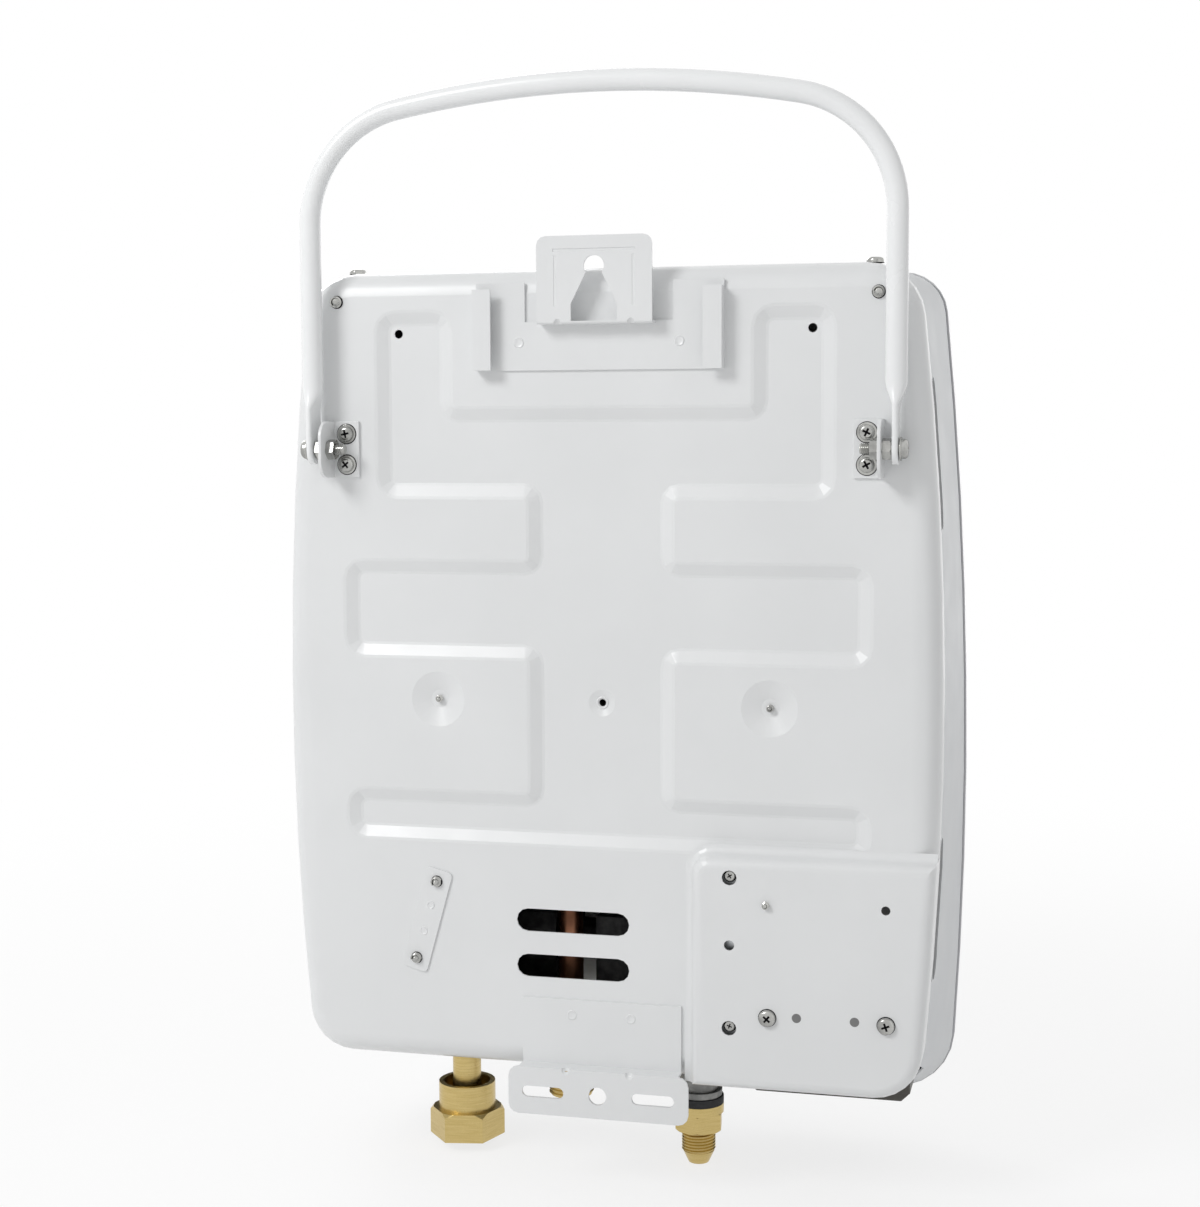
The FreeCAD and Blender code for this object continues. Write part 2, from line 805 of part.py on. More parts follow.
def keyhole(y0, y1):
    """Round head, narrow neck and wide mouth that guides the hook onto a wall screw."""
    points = [(-keyhole_neck / 2, keyhole_height), (-keyhole_neck / 2, keyhole_neck_height),
              (-keyhole_mouth / 2, keyhole_mouth_height), (-keyhole_mouth / 2, hook_low + bracket_sheet),
              (keyhole_mouth / 2, hook_low + bracket_sheet), (keyhole_mouth / 2, keyhole_mouth_height),
              (keyhole_neck / 2, keyhole_neck_height), (keyhole_neck / 2, keyhole_height)]
    points = [Vector(x, y0, z) for x, z in points]
    mouth = Part.Face(Part.makePolygon(points + [points[0]])).extrude(Vector(0, y1 - y0, 0))
    return mouth.fuse(rod(keyhole_radius, (0, y0, keyhole_height), (0, y1, keyhole_height)))


def bottom_bracket():
    t = bracket_sheet
    plate = box(-low_plate_half, low_plate_half, 0, t, low_fold, low_plate_top)
    ledge = box(-low_plate_half, low_plate_half, 0, wall_plane, low_fold - t, low_fold)
    middle = (low_fold + low_flange_bottom) / 2
    flange = rounded_rectangle(low_flange_half, (low_fold - low_flange_bottom) / 2, low_corner,
                               wall_plane - t, wall_plane, 0, middle)
    bracket = join([plate, ledge, flange])
    holes = [rod(low_hole_diameter / 2, (0, wall_plane - 2 * t, low_hole_height),
                 (0, wall_plane + 1, low_hole_height))]
    holes += [obround(low_slot_length, low_slot_height, wall_plane - 2 * t, wall_plane + 1,
                      side * low_slot_spacing / 2, low_hole_height) for side in (-1, 1)]
    return bracket.cut(group(holes))


def strap_plate():
    plate = rounded_rectangle(strap_width / 2, strap_length / 2, 2.0, 0, strap_sheet, strap_x, strap_z)
    return turned(plate, (strap_x, 0, strap_z), (0, 1, 0), -strap_tilt)


# ---- handle and its brackets ---------------------------------------------------------------------------
def handle_bracket():
    low, high = pivot_height - ear_half_height, pivot_height + ear_half_height
    base = box(ear_inner - ear_base_width, ear_inner + ear_sheet, 0, ear_sheet, low, high)
    ear = box(ear_inner, ear_inner + ear_sheet, 0, ear_stand, low, high)
    ear = ear.makeFillet(ear_corner, [e for e in ear.Edges if e.BoundBox.YMin > ear_stand - 1e-6
                                      and e.BoundBox.XLength > ear_sheet / 2])
    hole = many_sided(around(bolt_diameter / 2 + bolt_clearance), (ear_inner - 1, pivot_stand, pivot_height),
                      (ear_inner + ear_sheet + 1, pivot_stand, pivot_height))
    return join([base, ear]).cut(hole)


def tab_inner():
    return ear_inner + ear_sheet + nut_thickness + tab_gap


def pivot_bolt():
    """Bolt with its two nuts, which clamp the ear, and the washer that keeps the handle on."""
    tab_outer = tab_inner() + tab_thickness
    keeper = tab_outer + bolt_play
    head = keeper + washer_thickness
    axis = (pivot_stand, pivot_height)
    seat = ear_inner + ear_sheet + nut_thickness
    shank = many_sided(bolt_diameter / 2, (bolt_end,) + axis, (seat,) + axis)
    journal = rod(bolt_diameter / 2, (seat - 0.5,) + axis, (keeper + 0.3,) + axis)
    washer = many_sided(washer_radius, (keeper,) + axis, (head,) + axis, 20)
    dome = many_sided(bolt_head_radius, (head,) + axis, (head + bolt_head_thickness,) + axis, 16,
                      bolt_head_radius * 0.75)
    outside = ear_inner + ear_sheet
    nuts = [hexagon_x(nut_flats, ear_inner - nut_thickness, ear_inner, *axis),
            hexagon_x(nut_flats, outside, outside + nut_thickness, *axis)]
    return join([shank, journal, washer, dome] + nuts)


def handle():
    """Bent tube with flattened ends that swing on the pivot bolts."""
    x = tab_inner() + tab_thickness / 2
    r = tube_diameter / 2
    crown_centre = handle_crown_height - handle_crown_radius
    corner_z = crown_centre + math.sqrt((handle_crown_radius - handle_corner) ** 2 - (x - handle_corner) ** 2)
    corner = Vector(x - handle_corner, pivot_stand, corner_z)
    crown = Vector(0, pivot_stand, crown_centre)
    touch = crown + (corner - crown).normalize() * handle_crown_radius
    start = Vector(x, pivot_stand, pivot_height + tube_start)

    def flip(v):
        return Vector(-v.x, v.y, v.z)

    bend_start = Vector(x, pivot_stand, corner_z)
    rings = [(start, Vector(0, 0, 1))]
    rings += turn_rings(corner, bend_start, Vector(0, 0, 1), touch, handle_steps)
    rings += turn_rings(crown, touch, tangent(crown, touch), flip(touch), handle_steps)[1:]
    rings += turn_rings(flip(corner), flip(touch), tangent(crown, flip(touch)), flip(bend_start), handle_steps)[1:]
    rings.append((flip(start), Vector(0, 0, -1)))
    tube = flat_loft([closed(tube_ring(r, point, along)) for point, along in rings])
    end = handle_end(x, start)
    return tube.fuse([end, mirrored(end)])


def tangent(centre, point):
    """Direction of travel along the crown, from right to left."""
    return (point - centre).normalize().cross(Vector(0, -1, 0)).negative()


def turn_rings(centre, start, along, end, steps):
    """Places and directions of the tube's sections around one bend."""
    first, last = start - centre, end - centre
    axis = first.cross(last)
    whole = math.degrees(first.getAngle(last))
    turns = [FreeCAD.Rotation(axis, whole * k / steps) for k in range(steps + 1)]
    return [(centre + turn.multVec(first), turn.multVec(along)) for turn in turns]


def tube_ring(radius, centre, along):
    """Corners of one section of the tube, which is drawn with flat sides."""
    across = Vector(0, 1, 0)
    up = along.cross(across)
    turns = [2 * math.pi * k / tube_sides for k in range(tube_sides)]
    return [centre + across * (radius * math.cos(a)) + up * (radius * math.sin(a)) for a in turns]


def handle_end(x, start):
    """Tube pressed flat: a loft from the round tube to the tab, then the tab with its bore."""
    tab_high = pivot_height + tab_top
    half = tab_thickness / 2
    middle = Vector(x, pivot_stand, tab_high)
    flat = []
    for point in tube_ring(1.0, middle, Vector(0, 0, 1)):
        out = point - middle
        out = out * (1 / max(abs(out.x), abs(out.y)))
        flat.append(middle + Vector(out.x * half, out.y * tab_half_width, 0))
    neck = flat_loft([closed(tube_ring(tube_diameter / 2, start, Vector(0, 0, 1))), closed(flat)])
    tab = box(x - half, x + half, pivot_stand - tab_half_width, pivot_stand + tab_half_width,
              pivot_height, tab_high)
    tip = many_sided(tab_half_width, (x - half, pivot_stand, pivot_height), (x + half, pivot_stand, pivot_height),
                     ring_sides)
    bore = rod(bolt_diameter / 2 + bolt_clearance, (x - half - 1, pivot_stand, pivot_height),
               (x + half + 1, pivot_stand, pivot_height))
    return neck.fuse([tab, tip]).cut(bore)


# ---- water and gas connections --------------------------------------------------------------------------
def water_inlet_tube():
    """Inlet tube with the collar that holds the swivel nut on."""
    collar_top = swivel_shoulder - swivel_gap
    low = collar_top - collar_thickness
    r = water_tube_diameter / 2
    outside = post(water_in_x, pipe_y, [(r, valve_bottom, r, collar_top), (collar_radius, collar_top, collar_radius, low)])
    return outside.cut(many_sided(water_tube_bore / 2, (water_in_x, pipe_y, low - 1),
                                  (water_in_x, pipe_y, valve_bottom + 1), 16))


def hose_swivel_nut():
    """Female garden-hose nut: deep cup above, hexagon below, free to turn on the inlet tube."""
    x, y = water_in_x, pipe_y
    corner = swivel_flats / math.sqrt(3)
    nut = hexagon(swivel_flats, (x, y), swivel_bottom, swivel_shoulder, 120 + swivel_hex_turn)
    bevel = post(x, y, [(corner + 1, swivel_bottom, corner + 1, swivel_shoulder - 3),
                        (corner + 1, swivel_shoulder - 3, corner - swivel_chamfer, swivel_shoulder)])
    cup = many_sided(swivel_cup_diameter / 2, (x, y, swivel_shoulder), (x, y, swivel_top), ring_sides)
    hollows = [many_sided(swivel_cup_bore / 2, (x, y, swivel_cup_floor), (x, y, swivel_top + 1), ring_sides),
               many_sided(water_tube_diameter / 2 + swivel_hole_gap, (x, y, swivel_shoulder - 1),
                          (x, y, swivel_cup_floor + 1), ring_sides),
               many_sided(hose_seat_radius, (x, y, washer_seat - 0.3), (x, y, swivel_shoulder), ring_sides),
               many_sided(around(hose_thread_radius + thread_relief_depth, ring_sides), (x, y, hose_thread_top),
                          (x, y, washer_seat), ring_sides),
               rod(hose_thread_radius, (x, y, swivel_bottom - 1), (x, y, hose_thread_top))]
    return join([nut.common(bevel), cup]).cut(group(hollows))


def hose_washer():
    low = washer_seat + 0.1
    ring = many_sided(collar_radius, (water_in_x, pipe_y, low),
                      (water_in_x, pipe_y, low + hose_washer_thickness), ring_sides)
    return ring.cut(many_sided(water_tube_bore / 2, (water_in_x, pipe_y, low - 1),
                               (water_in_x, pipe_y, low + hose_washer_thickness + 1), 16))


def gas_bore(low, high):
    return many_sided(flare_bore / 2, (gas_x, pipe_y, low), (gas_x, pipe_y, high), 16)


def gas_inlet_body():
    r = gas_body_diameter / 2
    neck = r - gas_neck_depth
    body = post(gas_x, pipe_y, [(r, valve_bottom, r, gas_neck_top), (neck, gas_neck_top, neck, gas_neck_bottom),
                                (r, gas_neck_bottom, r, gas_seal_top)])
    return body.cut(gas_bore(gas_seal_top - 1, valve_bottom + 1))


def gas_seal_ring():
    r = gas_ring_diameter / 2
    ring = post(gas_x, pipe_y, [(r, gas_seal_top, r, gas_seal_bottom)])
    return ring.cut(gas_bore(gas_seal_bottom - 1, gas_seal_top + 1))


def gas_flare_adapter():
    """Brass adapter: collar, hexagon, neck, male flare thread and 45-degree seat."""
    r, thread = gas_ring_diameter / 2, flare_thread_diameter / 2
    thread_top = gas_hex_bottom - 1.5
    nut = hexagon(gas_hex_flats, (gas_x, pipe_y), gas_hex_bottom, gas_collar_bottom, 30 + gas_hex_turn)
    corner = gas_hex_flats / math.sqrt(3)
    bevel = post(gas_x, pipe_y, [(corner - 1.2, gas_hex_bottom, corner + 0.8, gas_hex_bottom + 2),
                                 (corner + 0.8, gas_hex_bottom + 2, corner + 0.8, gas_collar_bottom)])
    nose = thread - 0.5
    ends = post(gas_x, pipe_y, [(r, gas_collar_bottom, r, gas_seal_bottom),
                                (thread - 1, thread_top, thread - 1, gas_hex_bottom),
                                (nose, flare_thread_bottom, flare_nose_diameter / 2, flare_nose_bottom)])
    spout = rod(thread, (gas_x, pipe_y, flare_thread_bottom), (gas_x, pipe_y, thread_top))
    return join([nut.common(bevel), ends, spout]).cut(gas_bore(flare_nose_bottom - 1, gas_seal_bottom + 1))


# ---- fasteners -------------------------------------------------------------------------------------------
def screw_heads(places, y, radius, height):
    """Low pan heads that sit on the surface at y; the shanks are left out."""
    return group([many_sided(radius, (x, y, z), (x, y + height, z), 14, radius * 0.72) for x, z in places])


def both_sides(x, z):
    return [(-x, z), (x, z)]


def top_edge_screws():
    low = panel_top + top_rise()
    return group([many_sided(screw_head_radius, (x, top_screw_y, low), (x, top_screw_y, low + screw_head), 14,
                             screw_head_radius * 0.72) for x in (-top_screw_x, top_screw_x)])


def top_rise():
    """Height of the sloping top at the outer edge of a top screw, above the panel's own top."""
    run = -(top_screw_y - screw_head_radius) - panel_depth - cover_gap
    return (front_top - panel_top) * run / (cover_front - panel_depth - cover_gap)


# ---- water and gas side ------------------------------------------------------------------------------------
def base_plate():
    t = sheet
    x0, x1 = base_left, base_right
    z = panel_bottom + sheet + lap_gap + sheet + 0.3
    plate = box(x0, x1, -base_front, base_rear, z, z + t)
    wall = box(x0, x1, base_rear - t, base_rear, z, base_step)
    shelf = box(x0, x1, base_rear - t, -sheet, base_step - t, base_step)
    tab = box(x0 + base_tab_cut, x1, -sheet - t, -sheet, base_step - t, base_step + base_tab)
    holes = [many_sided(radius + swivel_hole_gap, (x, y, z - 1), (x, y, z + 2), ring_sides) for radius, x, y in
             ((gas_body_diameter / 2, gas_x, pipe_y), (water_tube_diameter / 2, water_in_x, pipe_y),
              (hot_nipple_radius, hot_x, hot_y))]
    return join([plate, wall, shelf, tab]).cut(group(holes))


def gas_valve():
    body = box(valve_left, valve_right, valve_front, valve_rear, valve_bottom, valve_top)
    riser = many_sided(riser_radius, (riser_x, riser_y, valve_top), (riser_x, riser_y, manifold_bottom))
    link = many_sided(link_radius, (valve_right, disc_y, disc_z), (disc_left, disc_y, disc_z))
    return join([body, riser, link] + [spindle_boss(x, valve_front) for x in knob_places()[:2]])


def spindle_boss(x, y):
    boss = many_sided(boss_radius, (x, boss_front, knob_height), (x, y, knob_height), 16)
    return boss.cut(rod(spindle_diameter / 2 + spindle_clearance, (x, boss_front - 1, knob_height),
                        (x, boss_front + boss_bore, knob_height)))


def water_valve():
    body = box(water_left, water_right, water_front, water_rear, valve_bottom, water_top)
    boss = spindle_boss(knob_places()[2], water_front)
    disc = many_sided(disc_radius, (disc_left, disc_y, disc_z), (water_left, disc_y, disc_z), ring_sides)
    return join([body, boss, disc])


def gas_manifold():
    """Bar with one jet under each burner blade."""
    bar = box(-manifold_half, manifold_half, manifold_front, manifold_rear, manifold_bottom, manifold_top)
    middle = (manifold_front + manifold_rear) / 2
    jets = [hexagon(jet_flats, (x, middle), manifold_top, jet_top) for x in blade_places()]
    return join([bar] + jets)


def blade_places():
    return [(k - (blade_count - 1) / 2) * blade_pitch for k in range(blade_count)]


def burner():
    """Seven burner blades on two rails, with the ring that closes the chamber's foot."""
    half = blade_width / 2
    top = chamber_bottom - burner_ring
    blades = [box(x - half, x + half, burner_front, burner_rear, burner_bottom, top) for x in blade_places()]
    edge = blade_places()[-1] + half
    rails = [box(-edge, edge, y - 1, y, top - 12, top) for y in (burner_rear, burner_front + 1)]
    ring = box(-chamber_half, chamber_half, chamber_front, chamber_rear, top, chamber_bottom)
    inner = edge - burner_lip
    ring = ring.cut(box(-inner, inner, burner_front + 1, burner_rear - 1, top - 1, chamber_bottom + 1))
    return join([ring] + blades + rails)


def hot_outlet():
    """Half-inch male connection for the shower hose, with the copper pipe's seat above."""
    cap_low = hot_nipple_top - 6
    thread = rod(hot_nipple_radius, (hot_x, hot_y, hot_nipple_bottom), (hot_x, hot_y, hot_thread_top))
    body = post(hot_x, hot_y, [(hot_body_radius, hot_thread_top, hot_body_radius, hot_nipple_top)])
    bores = [many_sided(hot_nipple_radius - 3, (hot_x, hot_y, hot_nipple_bottom - 1), (hot_x, hot_y, cap_low), 16),
             many_sided(copper_diameter / 2 - copper_wall, (hot_x, hot_y, cap_low - 1),
                        (hot_x, hot_y, hot_nipple_top + 1), 16)]
    return join([thread, body]).cut(group(bores))


def hot_pipe():
    return many_sided_pipe(copper_diameter / 2, copper_wall, (hot_x, hot_y, hot_nipple_top),
                (hot_x, hot_y, header_bottom))


def cold_pipe():
    return many_sided_pipe(copper_diameter / 2, copper_wall, (cold_x, cold_y, water_top),
                (cold_x, cold_y, header_bottom))


def combustion_chamber():
    t = chamber_sheet
    shell = box(-chamber_half, chamber_half, chamber_front, chamber_rear, chamber_bottom, chamber_top)
    shell = shell.cut(box(-chamber_half + t, chamber_half - t, chamber_front + t, chamber_rear - t,
                          chamber_bottom - 1, chamber_top + 1))
    seat = -sheet - dimple_depth
    feet = []
    for side in (-1, 1):
        edge = side * chamber_half
        feet.append(box(edge - side * t, edge, chamber_rear - t, seat, -10, 10))
        feet.append(box(side * dimple_x - 10, side * dimple_x + 10, seat - t, seat, -10, 10))
    ports = [rod(electrode_radius + 1, (x, chamber_front - 1, electrode_z), (x, chamber_front + t + 1, electrode_z))
             for x in (-electrode_x, electrode_x)]
    return join([shell] + feet).cut(group(ports))


def heat_exchanger():
    """Finned block on the chamber with a water header at the right and another behind."""
    core = box(-chamber_half, chamber_half, chamber_front, chamber_rear, chamber_top, exchanger_top)
    gaps = []
    for k in range(fin_gaps):
        x = (k - (fin_gaps - 1) / 2) * fin_pitch
        gaps.append(box(x - fin_pitch / 4, x + fin_pitch / 4, chamber_front + 4, chamber_rear - 4,
                        chamber_top - 1, exchanger_top + 1))
    side = box(chamber_half, cold_x + 8, cold_y - 10, cold_y + 10, header_bottom, header_top)
    rear = box(hot_x - 10, hot_x + 10, chamber_rear, hot_y + 8, header_bottom, header_top)
    return join([core.cut(group(gaps)), side, rear])


def flue_hood():
    rings = []
    for z, x, y0, y1 in ((exchanger_top, chamber_half, chamber_front, chamber_rear),
                         (hood_top, flue_pitch * flue_slots / 2, flue_front - 2, flue_rear + 2)):
        rings.append((z, x, y0, y1))

    def frustum(inset, grow):
        wires = []
        for (z, x, y0, y1), lift in zip(rings, (-grow, grow)):
            z += lift
            x, y0, y1 = x - inset, y0 + inset, y1 - inset
            wires.append(Part.makePolygon([Vector(-x, y0, z), Vector(x, y0, z), Vector(x, y1, z),
                                           Vector(-x, y1, z), Vector(-x, y0, z)]))
        return flat_loft(wires)

    return frustum(0, 0).cut(frustum(chamber_sheet, 0.01))


# ---- electrics -----------------------------------------------------------------------------------------------
def ignition_module():
    return rounded_rectangle(20, 26.5, 3, -28, -sheet, module_x, module_z)


def tip_over_switch():
    face = bump_height - sheet
    return box(tilt_switch_x - 10, tilt_switch_x + 10, face - 18, face, tilt_switch_z - 10, tilt_switch_z + 10)


def inner_bracket():
    """Strip behind the ringed holes that ties the gas valve to the panel."""
    t = bracket_sheet
    strip = box(inner_bracket_x - 5, inner_bracket_x + 9, strip_y - t, strip_y, -150, -68)
    arm = box(inner_bracket_x + 9 - t, inner_bracket_x + 9, valve_rear, strip_y, -135, -115)
    foot = box(inner_bracket_x - 5, inner_bracket_x + 9, valve_rear, valve_rear + t, -135, -115)
    return join([strip, arm, foot])


def microswitch():
    return box(-20, 4, valve_front + 10, valve_front + 22, valve_top, valve_top + 16)


def thermal_cutout():
    return box(-30, -14, chamber_rear, chamber_rear + 8, 60, 76)


# ---- battery -----------------------------------------------------------------------------------------------
def battery_box():
    half_x, half_y = cell_spread + cell_radius + cell_gap + box_wall, cell_radius + cell_gap + box_wall
    shell = box(battery_x - half_x, battery_x + half_x, cell_y - half_y, cell_y + half_y, box_bottom, box_top)
    inner = box(battery_x - half_x + box_wall, battery_x + half_x - box_wall, cell_y - half_y + box_wall,
                cell_y + half_y - box_wall, box_bottom - 1, box_top - box_wall)
    rear = cell_y + half_y
    bosses = [many_sided(boss_radius / 2, (battery_x + s * spread / 2, rear - box_wall, z),
                  (battery_x + s * spread / 2, bump_height - sheet, z))
              for spread, z in ((box_screw_spread, box_screw_z), (peg_spread, peg_z)) for s in (-1, 1)]
    lugs = []
    for s in (-1, 1):
        x0, x1 = battery_x + s * lug_inner, battery_x + s * lug_outer
        lug = many_sided(door_knuckle_radius, (x0, door_axis_y, door_axis_z), (x1, door_axis_y, door_axis_z))
        web = box(x0, x1, door_axis_y - door_knuckle_radius, cell_y - half_y, box_bottom, box_bottom + 5)
        lugs += [lug, web]
    bore = many_sided(around(door_pin_radius + spindle_clearance), (battery_x - lug_outer - 1, door_axis_y, door_axis_z),
               (battery_x + lug_outer + 1, door_axis_y, door_axis_z))
    return join([shell.cut(inner)] + bosses + lugs).cut(bore)


def battery_cell(side):
    x = battery_x + side * cell_spread
    low, high = box_bottom + 1, box_bottom + 1 + cell_length
    if side > 0:
        return post(x, cell_y, [(cell_radius, low, cell_radius, high - 2), (cell_nub_radius, high - 2, cell_nub_radius, high)])
    return post(x, cell_y, [(cell_nub_radius, low, cell_nub_radius, low + 2), (cell_radius, low + 2, cell_radius, high)])


def battery_contacts():
    """Strip under the roof of the box that joins the two cells."""
    high = box_bottom + 1 + cell_length
    roof = box_top - box_wall
    plate = box(battery_x - 26, battery_x + 26, cell_y - 6, cell_y + 6, roof - 0.6, roof)
    pads = [box(battery_x + s * cell_spread - 4, battery_x + s * cell_spread + 4, cell_y - 4, cell_y + 4,
                high, roof - 0.6) for s in (-1, 1)]
    return join([plate] + pads)


def battery_door():
    """Trapezoid cap that hangs on its pin and swings down."""
    high, low = box_bottom - door_gap, box_bottom - door_gap - door_thickness
    profile = [(-door_half, high), (door_half, high), (door_half - door_bevel, low), (-door_half + door_bevel, low)]
    points = [Vector(battery_x + x, door_rear, z) for x, z in profile]
    lid = Part.Face(Part.makePolygon(points + [points[0]])).extrude(Vector(0, door_front - door_rear, 0))
    knuckle = many_sided(door_knuckle_radius, (battery_x - knuckle_half, door_axis_y, door_axis_z),
                  (battery_x + knuckle_half, door_axis_y, door_axis_z))
    web = box(battery_x - knuckle_half, battery_x + knuckle_half, door_axis_y, door_front + 1,
              door_axis_z - door_knuckle_radius, door_axis_z)
    bore = rod(door_pin_radius + spindle_clearance, (battery_x - knuckle_half - 1, door_axis_y, door_axis_z),
               (battery_x + knuckle_half + 1, door_axis_y, door_axis_z))
    return join([lid, knuckle, web]).cut(bore)


def door_hinge_pin():
    return rod(door_pin_radius, (battery_x - lug_outer, door_axis_y, door_axis_z),
               (battery_x + lug_outer, door_axis_y, door_axis_z))


# ---- controls ------------------------------------------------------------------------------------------------
def control_knob(x):
    """Skirt with a raised grip bar; a blind bore takes the spindle."""
    z = knob_height
    skirt = many_sided(knob_skirt_radius, (x, knob_back, z), (x, knob_back - knob_skirt, z), 32, knob_skirt_radius - 2)
    front = knob_back - knob_length
    grip = box(x - knob_bar_half, x + knob_bar_half, front, knob_back - knob_skirt,
               z - knob_grip_radius, z + knob_grip_radius)
    grip = grip.makeChamfer(knob_bar_half - 1.5, [e for e in grip.Edges if e.BoundBox.YLength > 1])
    bore = many_sided(around(spindle_diameter / 2 + spindle_clearance), (x, knob_back + 1, z),
                      (x, knob_back - knob_bore, z))
    return join([skirt, grip]).cut(bore)


def knob_spindle(x):
    return rod(spindle_diameter / 2, (x, boss_front + boss_bore - 0.5, knob_height),
               (x, knob_back - knob_bore, knob_height))


def display():
    """Lens in the fascia's window on its board."""
    inner = fascia_face + fascia_sheet
    lens = rounded_rectangle(display_width / 2 - 0.4, display_height / 2 - 0.4, 2.6, fascia_face + 0.4, inner,
                             0, display_z)
    board = box(-display_width / 2 - 6, display_width / 2 + 6, inner, inner + 4,
                display_z - display_height / 2 - 5, display_z + display_height / 2 + 5)
    return lens, board


def window_glass():
    inner = fascia_face + fascia_sheet
    return box(-window_width / 2 - 4, window_width / 2 + 4, inner, inner + 1.5,
               window_z - window_height / 2 - 4, window_z + window_height / 2 + 4)


def switch_housing():
    inner = fascia_face + fascia_sheet
    half_x, half_z = rocker_width / 2, rocker_height / 2
    shell = box(rocker_x - half_x - 2, rocker_x + half_x + 2, inner, inner + 12,
                display_z - half_z - 2, display_z + half_z + 2)
    well = box(rocker_x - half_x, rocker_x + half_x, inner - 1, inner + 9, display_z - half_z, display_z + half_z)
    bore = rod(door_pin_radius + spindle_clearance, (rocker_x - half_x - 1.5, rocker_axis_y, display_z),
               (rocker_x + half_x + 1.5, rocker_axis_y, display_z))
    return shell.cut(well).cut(bore)


def rocker():
    half_x = rocker_width / 2 - 0.4
    outline = [(rocker_front, 8.4), (rocker_axis_y - 2, 9.4), (rocker_axis_y + 3, 7.0)]
    points = [Vector(rocker_x - half_x, y, display_z + h) for y, h in outline]
    points += [Vector(rocker_x - half_x, y, display_z - h) for y, h in reversed(outline)]
    body = Part.Face(Part.makePolygon(points + [points[0]])).extrude(Vector(2 * half_x, 0, 0))
    reach = rocker_width / 2 + 1.2
    axle = rod(door_pin_radius, (rocker_x - reach, rocker_axis_y, display_z),
               (rocker_x + reach, rocker_axis_y, display_z))
    return join([body, axle])


# ---- all pieces ----------------------------------------------------------------------------------------------
def main():
    os.makedirs("parts", exist_ok=True)
    save("back_panel", back_panel())
    save("front_cover", front_cover())
    save("seam_strip", seam_strip())
    save("front_fascia", front_fascia())
    save("top_wall_bracket", top_bracket())
    save("bottom_wall_bracket", bottom_bracket())
    save("strap_plate", strap_plate())
    save("handle_bracket_right", handle_bracket())
    save("handle_bracket_left", mirrored(handle_bracket()))
    save("pivot_bolts", group([pivot_bolt(), mirrored(pivot_bolt())]))
    save("handle", handle())
    save("water_inlet_tube", water_inlet_tube())
    save("hose_swivel_nut", hose_swivel_nut())
    save("hose_washer", hose_washer())
    save("gas_inlet_body", gas_inlet_body())
    save("gas_seal_ring", gas_seal_ring())
    save("gas_flare_adapter", gas_flare_adapter())
    save("corner_screws", screw_heads(both_sides(corner_screw_x, corner_screw_z), 0, screw_head_radius, screw_head))
    save("top_edge_screws", top_edge_screws())
    ears = [(s * ear_screw_x, pivot_height + t * ear_screw_spread / 2) for s in (-1, 1) for t in (-1, 1)]
    save("handle_bracket_screws", screw_heads(ears, ear_sheet, 2.9, screw_head))
    save("strap_screws", screw_heads(strap_screw_places(), strap_sheet, 3.4, screw_head))
    box_screws = [(battery_x + s * box_screw_spread / 2, box_screw_z) for s in (-1, 1)]
    save("battery_box_screws", screw_heads(box_screws, bump_height, screw_head_radius, screw_head))
    save("base_plate", base_plate())
    save("gas_valve", gas_valve())
    save("water_valve", water_valve())
    save("gas_manifold", gas_manifold())
    save("burner", burner())
    save("hot_water_outlet", hot_outlet())
    save("hot_pipe", hot_pipe())
    save("cold_pipe", cold_pipe())
    save("combustion_chamber", combustion_chamber())
    save("heat_exchanger", heat_exchanger())
    save("flue_hood", flue_hood())
    save("ignition_module", ignition_module())
    save("tip_over_switch", tip_over_switch())
    save("valve_bracket", inner_bracket())
    save("microswitch", microswitch())
    save("thermal_cutout", thermal_cutout())
    save("battery_box", battery_box())
    save("battery_cell_right", battery_cell(1))
    save("battery_cell_left", battery_cell(-1))
    save("battery_contacts", battery_contacts())
    save("battery_door", battery_door())
    save("door_hinge_pin", door_hinge_pin())
    for name, x in zip(("gas_knob", "season_knob", "water_knob"), knob_places()):
        save(name, control_knob(x))
        save(name + "_spindle", knob_spindle(x))
    lens, board = display()
    save("display_lens", lens)
    save("display_board", board)
    save("window_glass", window_glass())
    save("switch_housing", switch_housing())
    save("power_rocker", rocker())


main()
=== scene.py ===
import json
import math
import bpy
from mathutils import Matrix, Vector


